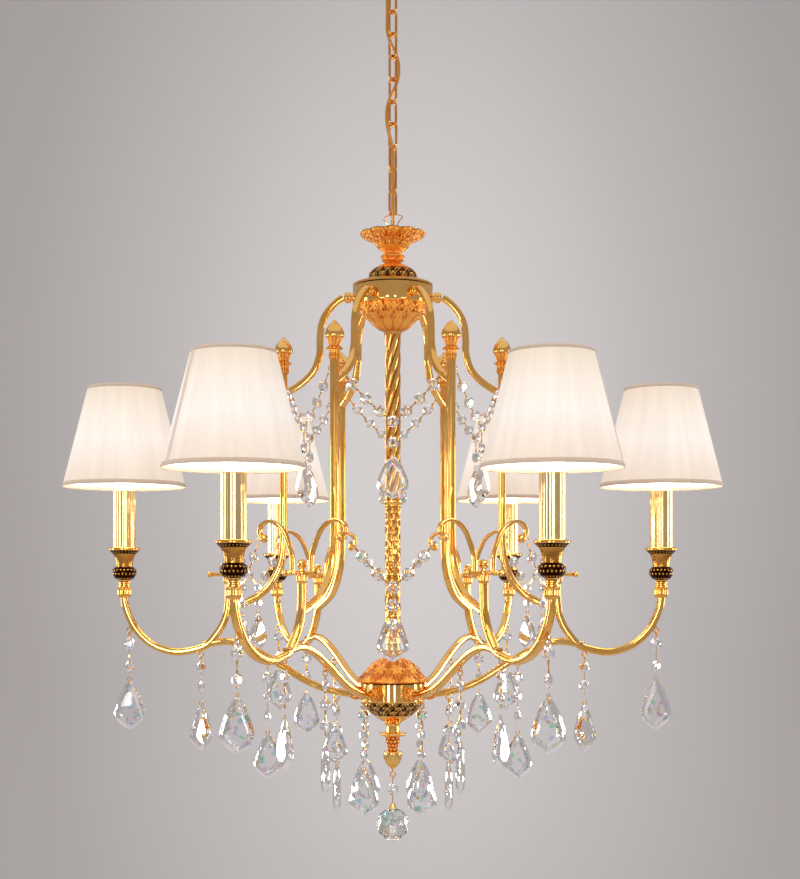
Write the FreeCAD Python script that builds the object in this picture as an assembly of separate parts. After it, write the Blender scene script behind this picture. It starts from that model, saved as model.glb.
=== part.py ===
"""Six-arm brass chandelier on a chain, with fabric shades and crystal drops.

Millimetres, +Z up. The origin is on the ceiling, at the centre of the ceiling bracket.
Outlines are (radius, height) pairs, with heights counted from the arm datum, the level that
the six arms are set out from. It lies DATUM_DROP under the ceiling.
"""

import math
import os

import FreeCAD
import Part

Vector = FreeCAD.Vector
X_AXIS = Vector(1, 0, 0)
Y_AXIS = Vector(0, 1, 0)
Z_AXIS = Vector(0, 0, 1)

# Driving dimensions
DATUM_DROP = 790.0          # ceiling to arm datum
ARMS = 6
ARM_STEP = 360.0 / ARMS
CANDLE_R = 322.0            # chandelier axis to candle axis
POST_R = 131.0              # chandelier axis to post
INNER_BAR_R = 197.0         # chandelier axis to the arm's inner upright
BAR = 9.2                   # side of the square bar
SCROLL_BAR = 8.6            # side of the crown scroll's bar
BRANCH_BAR = 8.8            # side of the lower branch's bar
CUP_SEAT = -10.3            # where the candle cup stands on the arm
ARM_TOP = 6.0               # top of the arm's inner upright
STRAP = 4.6                 # lyre strap, in its plane
STRAP_DEPTH = 7.0           # lyre strap, across its plane
CROSS_REACH = 20.0          # cross piece, middle to the start of its end knob
FINIAL_SEAT = 258.0         # top of the post, where its finial stands
SCROLL_START = 350.0        # height at which the crown's scrolls leave their knobs
HUB_R = 48.0                # crown hub
BAIL_SEAT = 434.0           # top of the dish's stem, where the bail's legs stand
ROD_LOW = -194.0            # lower end of the threaded tube

BRACKET_LENGTH = 100.0
BRACKET_WIDTH = 22.0
BRACKET_THICK = 3.0
SCREW_SPACING = 70.0
SCREW_HOLE_R = 2.5
CANOPY_R = 62.0
CANOPY_DEPTH = 42.0
CANOPY_WALL = 1.2
SPIGOT_R = 11.0
SPIGOT_BORE_R = 5.2
COLLAR_R = 15.0
COLLAR_HEIGHT = 8.0

LINK_PITCH = 27.0
LINK_WIDTH = 14.0
LINK_WIRE_R = 1.5
LINK_GAP = 0.1
LINKS = 10
FIRST_LINK = 448.4          # bottom wire of the lowest link, above the arm datum
LINK_TWIST = [45, 131, 48, 138, 47, 133, 47, 136, 42, 134]
LOOP_WIRE_R = 1.5
LOOP_R = 6.7
LOOP_TWIST = 45.0
LOOP_TOP = 738.0
CORD_R = 2.0
BAIL_WIRE_R = 1.1
BAIL_TWIST = -20.0
BAIL_GAP = 0.3
STEM_BORE_Y = -2.5          # the cord enters the dish's stem beside its centre

ROD_R = 5.0
ROD_BORE_R = 3.0
ROD_CLEARANCE = 0.1
COLUMN_R = 9.6

SHADE_BOTTOM_R = 73.0
SHADE_TOP_R = 43.2
SHADE_BOTTOM = 122.5
SHADE_TOP = 242.0
SHADE_WALL = 0.8
SHADE_TRIM = 4.5            # height of the rolled trim
SHADE_TRIM_WALL = 1.6
CLIP_WIRE_R = 1.0
CLIP_HEIGHT = 146.0
CLIP_RING_R = 18.9
CLIP_SPOKES = 3
SLEEVE_R = 13.5
SLEEVE_WALL = 1.0
SLEEVE_BOTTOM = 47.0
SLEEVE_TOP = 119.0
SOCKET_R = 11.0
BULB_R = 17.5

BEAD_R = 6.5                # octagon bead, centre to flat
BEAD_THICK = 7.0
PIN_R = 0.6
PIN_GAP = 0.1
EYELET_R = 3.0
EYELET_WIRE_R = 0.7
EYELET_STEM = 5.0
RING_R = 3.2
RING_WIRE_R = 0.7
RING_GAP = 0.25
PENDANT_THICK = 10.0
PENDANT_TABLE = 0.6         # flat middle of a pendant's face, as a share of its outline
PENDANT_SHARE = 0.62        # width of a strand's pendant, as a share of its length
SWAG_PENDANT_SHARE = 0.74
BALL_R = 19.7
BALL_HOOK = -225.0          # lowest wire of the acorn's eyelet
BALL_BEAD = -240.0
BALL_CENTRE = -281.5

# Each drop ring: radius of its eyelet, height of the eyelet's lowest wire, heights of its beads,
# top and bottom of its pendant.
OUTER_DROP = (316.0, -52.0, (-65.5, -92.0), -108.7, -168.7)
ARM_DROP = (230.0, -80.5, (-93.0, -116.0), -137.5, -194.0)
INNER_DROP = (150.0, -91.5, (-106.0, -128.5, -152.0), -173.0, -228.0)
HUB_DROP = (67.0, -132.5, (-146.0, -169.0, -192.0), -209.0, -266.0)

# Which way the crystals of each strand face, in degrees from straight outwards, arm by arm.
OUTER_TURN = (88, 30, -30, 92, 22, -22)
ARM_TURN = (42, 35, -35, -42, -30, 30)
INNER_TURN = (90, 30, -30, 90, -60, 60)
HUB_TURN = (0, 25, -25, 0, 22, -22)

# Each swag: height of its hooks, its middle bead (radius, height), beads on each side, height of
# the bead under the middle, top and bottom of its pendant.
UPPER_SWAG = (249.0, (119.0, 188.0), 3, 164.0, 150.0, 100.5)
LOWER_SWAG = (56.0, (197.0, 2.0), 2, -17.0, -30.0, -78.0)
LYRE_TIP = 56.5             # arm plane to the lyre scroll's tip

# The cord's route: across, towards the viewer's far side, height above the arm datum.
CORD_ROUTE = [
    (0.8, 0.0, 741.0),
    (-7.1, -0.3, 717.0),
    (-6.2, 0.4, 691.0),
    (-7.2, -0.2, 664.4),
    (7.2, 0.3, 637.4),
    (7.2, -0.3, 610.4),
    (-7.2, 0.2, 583.4),
    (-7.5, -0.3, 556.4),
    (0.2, -7.5, 529.4),
    (-0.3, -6.2, 502.4),
    (0.3, -6.6, 475.4),
    (0.0, -6.6, 451.0),
    (0.0, -2.6, 437.0),
    (0.0, -2.5, 425.0),
]

nodes = {}


def add(name, *shapes):
    """Keep one node: a single solid, or a group of separate solids."""
    solids = [solid for shape in shapes for solid in shape.Solids]
    group = solids[0] if len(solids) == 1 else Part.makeCompound(solids)
    nodes[name] = group.translated(Vector(0, 0, -DATUM_DROP))


def around(shape, angles):
    """Copies of a shape turned about the chandelier's axis."""
    return [shape.rotated(Vector(), Z_AXIS, angle) for angle in angles]


def each_arm(shape):
    return around(shape, [index * ARM_STEP for index in range(ARMS)])


def between_arms(shape):
    return around(shape, [(index + 0.5) * ARM_STEP for index in range(ARMS)])


def turned(outline, bore=0.0, at=0.0):
    """A turned piece from its outline, with a straight bore, on an axis at x = at."""
    low, high = outline[0][1], outline[-1][1]
    corners = [(bore, low)] + list(outline) + [(bore, high)]
    points = [Vector(r, 0, z) for r, z in corners]
    points = [p for i, p in enumerate(points) if i == 0 or (p - points[i - 1]).Length > 1e-6]
    face = Part.Face(Part.makePolygon(points + [points[0]]))
    return face.revolve(Vector(), Z_AXIS, 360).translated(Vector(at, 0, 0))


def tube(outer, inner, low, high, at=0.0):
    return turned([(outer, low), (outer, high)], inner, at)


def rod(start, end, radius):
    return Part.makeCylinder(radius, (end - start).Length, start, end - start)


def wire_run(points, radius):
    """Round wire through the points, with a ball at each corner."""
    pieces = [rod(a, b, radius) for a, b in zip(points, points[1:])]
    corners = [Part.makeSphere(radius, point) for point in points[1:-1]]
    return pieces[0].multiFuse(pieces[1:] + corners).removeSplitter()


def bar_along(points, width, depth):
    """A bar of rectangular section along a smooth centre line in the XZ plane."""
    curve = Part.BSplineCurve()
    curve.interpolate([Vector(x, 0, z) for x, z in points])
    count = 3 * len(points)
    sides = ([], [])
    for step in range(count + 1):
        place = curve.FirstParameter + (curve.LastParameter - curve.FirstParameter) * step / count
        along = curve.tangent(place)[0]
        across = Vector(along.z, 0, -along.x) * (width / 2)
        sides[0].append(curve.value(place) + across)
        sides[1].append(curve.value(place) - across)
    edges = []
    for side in sides:
        edge = Part.BSplineCurve()
        edge.interpolate(side)
        edges.append(edge.toShape())
    edges.insert(1, Part.makeLine(sides[0][-1], sides[1][-1]))
    edges.append(Part.makeLine(sides[1][0], sides[0][0]))
    face = Part.Face(Part.Wire(Part.__sortEdges__(edges)))
    return face.extrude(Vector(0, depth, 0)).translated(Vector(0, -depth / 2, 0))


def octagon(radius, depth, across=1.0):
    """A closed octagon with a flat at the top, at the given place along Y."""
    half = math.pi / 8
    corner = radius / math.cos(half)
    angles = [half + index * math.pi / 4 for index in range(9)]
    return Part.makePolygon([
        Vector(corner * across * math.sin(a), depth, corner * math.cos(a)) for a in angles
    ])


def bead():
    """Cut octagon bead, facing along Y."""
    half = BEAD_THICK / 2
    wires = [octagon(BEAD_R * scale, depth) for scale, depth in
             ((0.55, -half), (1.0, -half * 0.3), (1.0, half * 0.3), (0.55, half))]
    return Part.makeLoft(wires, True, True)


def pendant(length, width):
    """Cut leaf, tip down, facing along Y, with the middle of its top at the origin."""
    shape = ((0.0, 0.09), (0.22, 0.30), (0.50, 0.40), (0.72, 0.50), (0.86, 0.36), (1.0, 0.02))

    def outline(scale, depth):
        middle = -0.62 * length
        right = [(side * width, -down * length) for down, side in shape]
        points = right + [(-x, z) for x, z in reversed(right)]
        ring = [Vector(x * scale, depth, middle + (z - middle) * scale) for x, z in points]
        return Part.makePolygon(ring + [ring[0]])

    half = PENDANT_THICK / 2
    wires = [outline(PENDANT_TABLE, -half), outline(1.0, -0.8), outline(1.0, 0.8),
             outline(PENDANT_TABLE, half)]
    return Part.makeLoft(wires, True, True)


def between(a, b, trim_a, trim_b):
    """Pin from near a to near b, stopping short of both."""
    along = (b - a).normalize()
    return rod(a + along * trim_a, b - along * trim_b, PIN_R)


def facing(shape, place, direction):
    """Put a bead or pendant in place, tipped so that its top follows direction."""
    turn = FreeCAD.Rotation(Z_AXIS, direction)
    return shape.transformGeometry(FreeCAD.Placement(place, turn).toMatrix())


def ring(radius, wire_r, place, axis):
    return Part.makeTorus(radius, wire_r, place, axis)


def drop(layout, turn):
    """One hanging strand at angle 0: ring, beads, pins and pendant. turn is from facing +X."""
    radius, hook, beads, top, bottom = layout
    crown = hook + EYELET_WIRE_R + RING_GAP + RING_WIRE_R - RING_R
    pieces = [ring(RING_R, RING_WIRE_R, Vector(0, 0, crown), X_AXIS)]
    flat = BEAD_R
    levels = [crown - RING_R - RING_WIRE_R] + list(beads)
    trims = [PIN_GAP] + [flat] * len(beads)
    stops = [flat] * len(beads) + [0.0]
    for index, level in enumerate(levels):
        below = levels[index + 1] if index + 1 < len(levels) else top
        pieces.append(between(Vector(0, 0, level), Vector(0, 0, below), trims[index], stops[index]))
    turned_bead = bead().rotated(Vector(), Z_AXIS, 90 + turn)
    pieces += [turned_bead.translated(Vector(0, 0, z)) for z in beads]
    leaf = pendant(top - bottom, PENDANT_SHARE * (top - bottom))
    pieces.append(leaf.rotated(Vector(), Z_AXIS, 90 + turn).translated(Vector(0, 0, top)))
    return Part.makeCompound(pieces).translated(Vector(radius, 0, 0))


def strands(layout, turns):
    """The six strands of one ring, each turned its own way."""
    return [drop(layout, turn).rotated(Vector(), Z_AXIS, index * ARM_STEP)
            for index, turn in enumerate(turns)]


def eyelet(layout, carrier):
    """Eyelet at angle 0 with a stem that is cut off at the bar that carries it."""
    radius, hook = layout[0], layout[1]
    centre = Vector(radius, 0, hook + EYELET_R)
    loop = ring(EYELET_R, EYELET_WIRE_R, centre, Y_AXIS)
    top = centre + Vector(0, 0, EYELET_R)
    stem = rod(top, top + Vector(0, 0, EYELET_STEM), EYELET_WIRE_R)
    whole = loop.fuse(stem).cut(carrier)
    return min(whole.Solids, key=lambda solid: solid.CenterOfMass.z)


def swag(radius, offset, layout):
    """V of beads between two hooks beside two neighbouring arms, with a pendant under it.

    The hooks stand at that radius, offset from the planes of their arms. The swag lies across
    the XZ plane, midway between the arms.
    """
    height, centre, beads, low_bead, top, bottom = layout
    half = math.radians(ARM_STEP / 2)
    hook = (radius * math.cos(half) + offset * math.sin(half),
            radius * math.sin(half) - offset * math.cos(half), height)
    pieces = []
    middle = Vector(centre[0], 0, centre[1])
    outward_bead = bead().rotated(Vector(), Z_AXIS, 90)
    clear = BEAD_R / math.cos(math.pi / 8) + PIN_GAP
    for side in (-1, 1):
        start = Vector(hook[0], side * hook[1], hook[2])
        along = middle - start
        stops = [start + along * ((index + 1) / (beads + 1)) for index in range(beads)]
        up = (start - middle).normalize()
        pieces += [facing(outward_bead, stop, up) for stop in stops]
        chain = [start] + stops + [middle]
        for index, (a, b) in enumerate(zip(chain, chain[1:])):
            near = 1.0 if index == 0 else BEAD_R
            far = clear if index == beads else BEAD_R
            pieces.append(between(a, b, near, far))
        pieces.append(Part.makeSphere(1.0 - PIN_GAP, start))
    low = Vector(middle.x, 0, low_bead)
    pieces += [outward_bead.translated(middle), outward_bead.translated(low)]
    pieces.append(between(middle, low, BEAD_R, BEAD_R))
    pieces.append(between(low, Vector(middle.x, 0, top), BEAD_R, 0.0))
    leaf = pendant(top - bottom, SWAG_PENDANT_SHARE * (top - bottom))
    pieces.append(leaf.rotated(Vector(), Z_AXIS, 90).translated(Vector(middle.x, 0, top)))
    return Part.makeCompound(pieces)


def chain_link(bottom, twist):
    """Long link: two straight sides and two half rings, fused into one."""
    half = LINK_WIDTH / 2 - LINK_WIRE_R
    height = LINK_PITCH + 2 * LINK_WIRE_R + LINK_GAP
    low, high = half, height - half
    path = Part.Wire([
        Part.makeLine(Vector(half, 0, low), Vector(half, 0, high)),
        Part.Arc(Vector(half, 0, high), Vector(0, 0, height), Vector(-half, 0, high)).toShape(),
        Part.makeLine(Vector(-half, 0, high), Vector(-half, 0, low)),
        Part.Arc(Vector(-half, 0, low), Vector(0, 0, 0), Vector(half, 0, low)).toShape(),
    ])
    section = Part.Wire(Part.makeCircle(LINK_WIRE_R, Vector(half, 0, low), Z_AXIS))
    link = path.makePipeShell([section], True, False)
    return link.rotated(Vector(), Z_AXIS, twist).translated(Vector(0, 0, bottom))


def ceiling_fitting():
    ceiling = DATUM_DROP
    bar = Part.makeBox(BRACKET_LENGTH, BRACKET_WIDTH, BRACKET_THICK,
                       Vector(-BRACKET_LENGTH / 2, -BRACKET_WIDTH / 2, ceiling - BRACKET_THICK))
    for x in (-SCREW_SPACING / 2, SCREW_SPACING / 2):
        bar = bar.cut(Part.makeCylinder(SCREW_HOLE_R, 20, Vector(x, 0, ceiling - 10)))
    bar = bar.cut(Part.makeCylinder(ROD_R + ROD_CLEARANCE, 20, Vector(0, 0, ceiling - 10)))
    add("ceiling_bracket", bar)

    nipple_low = ceiling - CANOPY_DEPTH + 4
    add("ceiling_nipple", tube(ROD_R, ROD_BORE_R, nipple_low, ceiling - 1))
    nut = Part.Face(Part.makePolygon([
        Vector(9 * math.cos(math.radians(60 * i)), 9 * math.sin(math.radians(60 * i)), 0)
        for i in range(7)
    ])).extrude(Vector(0, 0, 5))
    nut = nut.cut(Part.makeCylinder(ROD_R + ROD_CLEARANCE, 20, Vector(0, 0, -5)))
    add("ceiling_nut", nut.translated(Vector(0, 0, ceiling - BRACKET_THICK - 5)))

    loop_low = FIRST_LINK + LINKS * LINK_PITCH
    bend = loop_low + LOOP_R
    arc = Part.Arc(Vector(0, LOOP_R, bend), Vector(0, 0, loop_low), Vector(0, -LOOP_R, bend))
    path = Part.Wire([
        Part.makeLine(Vector(0, LOOP_R, LOOP_TOP + 2), Vector(0, LOOP_R, bend)),
        arc.toShape(),
        Part.makeLine(Vector(0, -LOOP_R, bend), Vector(0, -LOOP_R, LOOP_TOP + 2)),
    ])
    section = Part.Wire(Part.makeCircle(LOOP_WIRE_R, Vector(0, LOOP_R, LOOP_TOP + 2), Z_AXIS))
    eye = path.makePipeShell([section], True, False)
    eye = eye.rotated(Vector(), Z_AXIS, LOOP_TWIST - 90)
    spigot = turned([(SPIGOT_R, LOOP_TOP), (SPIGOT_R, nipple_low + 10)], ROD_R + ROD_CLEARANCE)
    spigot = spigot.cut(Part.makeCylinder(SPIGOT_BORE_R, nipple_low - LOOP_TOP,
                                          Vector(0, 0, LOOP_TOP)))
    add("ceiling_loop", spigot.fuse(eye).removeSplitter())

    top = ceiling - 0.5
    low = ceiling - CANOPY_DEPTH
    hole = SPIGOT_R + ROD_CLEARANCE
    wall = CANOPY_WALL
    outline = [
        (hole, low), (26, low), (40, low + 9), (52, low + 24), (57, low + 35),
        (CANOPY_R, low + 37), (CANOPY_R, top),
        (CANOPY_R - wall, top), (CANOPY_R - wall, low + 37 + wall), (57 - wall, low + 35 + wall),
        (52 - wall, low + 24 + wall), (40 - wall, low + 9 + wall), (26 - wall, low + wall),
        (hole, low + wall),
    ]
    face = Part.Face(Part.makePolygon([Vector(r, 0, z) for r, z in outline + outline[:1]]))
    add("canopy", face.revolve(Vector(), Z_AXIS, 360))
    add("canopy_collar", tube(COLLAR_R, hole, low - COLLAR_HEIGHT, low))


def chain_and_cord():
    links = [chain_link(FIRST_LINK + index * LINK_PITCH, LINK_TWIST[index])
             for index in range(LINKS)]
    add("chain_links", *links)

    apex = FIRST_LINK + LINK_WIRE_R + BAIL_WIRE_R + BAIL_GAP
    low = BAIL_SEAT
    bail = wire_run([Vector(x, 0, z) for x, z in
                     ((-5, low), (-12, apex - 4.5), (0, apex), (12, apex - 4.5), (5, low))],
                    BAIL_WIRE_R)
    bail = bail.cut(Part.makeBox(40, 40, 10, Vector(-20, -20, low - 10)))
    add("hanger_bail", bail.rotated(Vector(), Z_AXIS, BAIL_TWIST))

    points = [Vector(*point) for point in CORD_ROUTE]
    edges, start = [], points[0]
    for before, corner, after in zip(points, points[1:], points[2:]):
        back, ahead = before - corner, after - corner
        turn = math.pi - back.getAngle(ahead)
        reach = 0.45 * min(back.Length, ahead.Length)
        radius = reach / math.tan(turn / 2)
        back.normalize()
        ahead.normalize()
        enter, leave = corner + back * reach, corner + ahead * reach
        inward = (back + ahead).normalize()
        middle = corner + inward * (math.hypot(radius, reach) - radius)
        edges += [Part.makeLine(start, enter), Part.Arc(enter, middle, leave).toShape()]
        start = leave
    edges.append(Part.makeLine(start, points[-1]))
    path = Part.Wire(edges)
    section = Part.Wire(Part.makeCircle(CORD_R, points[0], points[1] - points[0]))
    add("power_cord", path.makePipeShell([section], True, False))
    print(f"cord length {path.Length:.1f} mm")


def crown():
    bore = ROD_R + ROD_CLEARANCE
    dish = Part.Face(Part.makePolygon([Vector(r, 0, z) for r, z in (
        (0, 406), (0, BAIL_SEAT), (7, BAIL_SEAT), (7, 413), (12, 413), (18, 417), (24, 420.5),
        (32, 424), (38.5, 428), (40, 426.5), (36, 422), (27.6, 418), (21.6, 414.5),
        (19.8, 411), (16.2, 407.5), (11.4, 404.5), (10.2, 402.5), (bore, 402.5), (bore, 406),
        (0, 406))]))
    dish = dish.revolve(Vector(), Z_AXIS, 360)
    cord_hole = Part.makeCylinder(CORD_R + 0.3, 16, Vector(0, STEM_BORE_Y, 420))
    add("top_dish", dish.cut(cord_hole))
    add("crown_knob", turned([(8.4, 391.7), (13.2, 394), (11.5, 396.5), (14.7, 398.3),
                              (14.7, 399.5), (10.2, 402.5)], bore))
    add("crown_dome", turned([(48, 363), (48, 365.5), (40, 369), (32, 371.5), (28, 376),
                              (27, 382), (25, 382.7), (19, 386.5), (13, 389.3),
                              (9, 391.7)], bore))
    add("crown_hub", turned([(HUB_R - 1.5, 339), (HUB_R, 341), (HUB_R, 361),
                             (HUB_R - 1.5, 363)], bore))
    knob = Part.makeCylinder(6.5, 10, Vector(HUB_R + 0.3, 0, SCROLL_START), X_AXIS)
    seat = Part.makeCylinder(4.5, 12, Vector(HUB_R - 1.2, 0, SCROLL_START), X_AXIS)
    hub = nodes["crown_hub"].translated(Vector(0, 0, DATUM_DROP))
    knob = knob.fuse(seat).cut(hub)
    add("scroll_knobs", *each_arm(knob))
    add("crown_cup", turned([(10.5, 305), (10.5, 308.8), (18, 312.6), (26, 319), (28, 322),
                             (38, 330), (40, 335), (40, 339)], bore))
    return knob


def column():
    bore = ROD_R + ROD_CLEARANCE
    add("column_rod", tube(ROD_R, ROD_BORE_R, ROD_LOW, 405.8))
    add("twisted_column", tube(COLUMN_R, bore, 107, 305))
    add("column_collar", turned([(9.6, 98.5), (10.8, 100), (10.8, 105.5), (9.6, 107)], bore))
    add("woven_column", tube(COLUMN_R, bore, -78, 98.5))
    add("base_dome", turned([(44, -111), (44, -109), (40, -103), (34, -97), (29, -91),
                             (24, -86), (10.5, -82), (9.6, -78)], bore))
    add("base_hub", turned([(37, -134), (38.5, -132), (38.5, -113), (37, -111)], bore))
    add("base_bowl", turned([(6.6, -189), (9.5, -176), (16, -175.5), (16, -171.5), (8, -170),
                             (8, -163), (9, -161), (13, -158), (20, -154), (28, -147),
                             (33, -141), (37, -134)], bore))
    acorn = turned([(0, -215.5), (5.5, -211), (9, -206), (11, -200), (11.5, -194.2),
                    (6.6, -194.2), (6.6, -189)], 0)
    rod_hole = Part.makeCylinder(bore, 5.3, Vector(0, 0, -194.2))
    add("base_acorn", acorn.cut(rod_hole))


def bars():
    """Arms, branches, posts and scrolls at angle 0, trimmed where they meet."""
    arm = bar_along([
        (CANDLE_R, -8), (CANDLE_R - 0.3, -14), (320.6, -20), (318.2, -27), (314.2, -36.7),
        (307, -48.7),
        (295, -61.3), (279.4, -70.3), (259, -75), (237.4, -72.1), (223, -66.7),
        (213, -56), (205, -44), (199.5, -30), (INNER_BAR_R + 0.5, -15), (INNER_BAR_R, 0),
        (INNER_BAR_R, 8),
    ], BAR, BAR)
    for radius, seat in ((CANDLE_R, CUP_SEAT), (INNER_BAR_R, ARM_TOP)):
        arm = arm.cut(Part.makeBox(40, 40, 20, Vector(radius - 20, -20, seat)))
    hub = nodes["base_hub"].translated(Vector(0, 0, DATUM_DROP))
    branch = bar_along([
        (222, -64), (197.8, -62.5), (183.4, -65.5), (165.4, -72.7), (145, -84.1),
        (125.8, -96.1), (107.8, -107.5), (89.8, -115.9), (73, -121.3), (55, -124.5), (36, -126),
    ], BRANCH_BAR, BRANCH_BAR)
    branch = largest_solid(branch.cut(arm).cut(hub))
    post = bar_along([
        (POST_R, FINIAL_SEAT), (POST_R, 190), (POST_R, 120), (POST_R, 71), (131.6, 53.3),
        (133.6, 35.3), (139, 19.7), (147.4, 5.3), (159.4, -6.7), (171.4, -13.3),
        (181, -17.8), (198, -25),
    ], BAR, BAR)
    post = largest_solid(post.cut(arm))
    scroll = bar_along([
        (60, SCROLL_START), (66, 346), (73, 339.5), (80.2, 329.9), (85.6, 316.7), (87.4, 299.3),
        (87.6, 283.7), (92.2, 266.9), (100.6, 254.9), (112.6, 244.7), (130, 234),
    ], SCROLL_BAR, SCROLL_BAR)
    return arm, branch, post, scroll


def largest_solid(shape):
    """What is left of a trimmed bar, without its cut-off end."""
    return max(shape.Solids, key=lambda solid: solid.Volume)


def arm_tops():
    """Cup, cross piece, finial and lyre scrolls on the arm's inner upright."""
    at = INNER_BAR_R
    cup = turned([(4.6, ARM_TOP), (5.2, 8), (6.5, 13), (6.5, 16)], 0, at)
    ball = turned([(3, 20), (2.4, 22)] + arc_outline(5.5, 27.4, -65, 90), 0, at)
    span, wide = 2 * CROSS_REACH, STRAP_DEPTH
    cross = Part.makeBox(span, wide, 4, Vector(at - CROSS_REACH, -wide / 2, 16))
    cross = cross.fuse(Part.makeBox(wide, span, 4, Vector(at - wide / 2, -CROSS_REACH, 16)))
    for x, y in ((1, 0), (-1, 0), (0, 1), (0, -1)):
        start = Vector(at + CROSS_REACH * x, CROSS_REACH * y, 18)
        cross = cross.fuse(Part.makeCylinder(4, 6, start, Vector(x, y, 0)))
    strap = bar_along([
        (12, 20), (13, 37), (17.5, 50), (22.5, 61), (30, 69.6), (40, 74.5), (47.5, 74),
        (54.5, 69), (56, 62), (51, 56.5),
    ], STRAP, STRAP_DEPTH)
    tip = Part.makeCylinder(5.2, 9, Vector(49, -4.5, 56), Y_AXIS)
    strap = strap.fuse(tip).removeSplitter().rotated(Vector(), Z_AXIS, 90)
    strap = strap.translated(Vector(at, 0, 0))
    other = strap.mirror(Vector(), Y_AXIS)
    trimmed = [piece.cut(cross) for piece in (strap, other)]
    add("arm_cups", *each_arm(cup))
    add("arm_finials", *each_arm(ball))
    add("cross_bars", *each_arm(cross))
    add("lyre_scrolls", *each_arm(Part.makeCompound(trimmed)))


def arc_outline(radius, centre, start, end, steps=10):
    """Points of a round outline, from start to end degrees above the horizontal."""
    angles = [math.radians(start + (end - start) * step / steps) for step in range(steps + 1)]
    return [(max(0.0, radius * math.cos(a)), centre + radius * math.sin(a)) for a in angles]


def candle():
    at = CANDLE_R
    cup = turned([
        (6, CUP_SEAT), (7.8, -7.9), (7.8, 1.7), (6.6, 5.3), (7.2, 10), (12, 13.7), (14.4, 19.7),
        (14.4, 25), (9.6, 27), (9.8, 32), (10.8, 35.3), (12, 40), (15, 43.7), (18.6, 47),
        (18.6, 50), (SLEEVE_R + 0.1, 50), (SLEEVE_R + 0.1, SLEEVE_BOTTOM), (0, SLEEVE_BOTTOM),
    ], 0, at)
    sleeve = tube(SLEEVE_R, SLEEVE_R - SLEEVE_WALL, SLEEVE_BOTTOM, SLEEVE_TOP, at)
    socket = turned([(SOCKET_R, SLEEVE_BOTTOM), (SOCKET_R, SLEEVE_TOP - 1)], 0, at)
    pocket = turned([(7, 90), (7, SLEEVE_TOP)], 0, at)
    bulb = turned([(6.8, 90), (6.8, 118.5), (9, 121), (14.5, 131), (BULB_R, 144), (BULB_R, 152),
                   (14, 171), (9, 184), (5, 192), (1.5, 196), (0, 196)], 0, at)
    add("candle_cups", *each_arm(cup))
    add("candle_sleeves", *each_arm(sleeve))
    add("lamp_sockets", *each_arm(socket.cut(pocket)))
    add("bulbs", *each_arm(bulb))


def shade():
    """Fabric cone with rolled trims, and the wire clip that carries it on the bulb."""
    at = CANDLE_R
    wall, trim = SHADE_WALL, SHADE_TRIM_WALL
    slope = (SHADE_BOTTOM_R - SHADE_TOP_R) / (SHADE_TOP - SHADE_BOTTOM)
    low, high = SHADE_BOTTOM + SHADE_TRIM, SHADE_TOP - SHADE_TRIM
    low_r = SHADE_BOTTOM_R - slope * SHADE_TRIM
    high_r = SHADE_TOP_R + slope * SHADE_TRIM
    outline = [
        (SHADE_BOTTOM_R + 0.5, SHADE_BOTTOM), (low_r + 0.5, low), (low_r, low), (high_r, high),
        (high_r + 0.5, high), (SHADE_TOP_R + 0.5, SHADE_TOP), (SHADE_TOP_R - trim, SHADE_TOP),
        (high_r - trim, high), (high_r - wall, high), (low_r - wall, low), (low_r - trim, low),
        (SHADE_BOTTOM_R - trim, SHADE_BOTTOM),
    ]
    face = Part.Face(Part.makePolygon([Vector(r, 0, z) for r, z in outline + outline[:1]]))
    cone = face.revolve(Vector(), Z_AXIS, 360)

    clip = ring(CLIP_RING_R, CLIP_WIRE_R, Vector(0, 0, CLIP_HEIGHT), Z_AXIS)
    spoke_top = SHADE_TOP - SHADE_TRIM / 2
    spoke_r = SHADE_TOP_R + slope * SHADE_TRIM / 2
    spokes = [rod(Vector(CLIP_RING_R, 0, CLIP_HEIGHT), Vector(spoke_r, 0, spoke_top), CLIP_WIRE_R)
              .rotated(Vector(), Z_AXIS, 90 + index * 360 / CLIP_SPOKES)
              for index in range(CLIP_SPOKES)]
    clip = largest_solid(clip.multiFuse(spokes).cut(cone))
    for index in range(ARMS):
        pair = Part.makeCompound([cone, clip]).translated(Vector(at, 0, 0))
        add(f"shade_{index + 1}", pair.rotated(Vector(), Z_AXIS, index * ARM_STEP))


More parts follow.
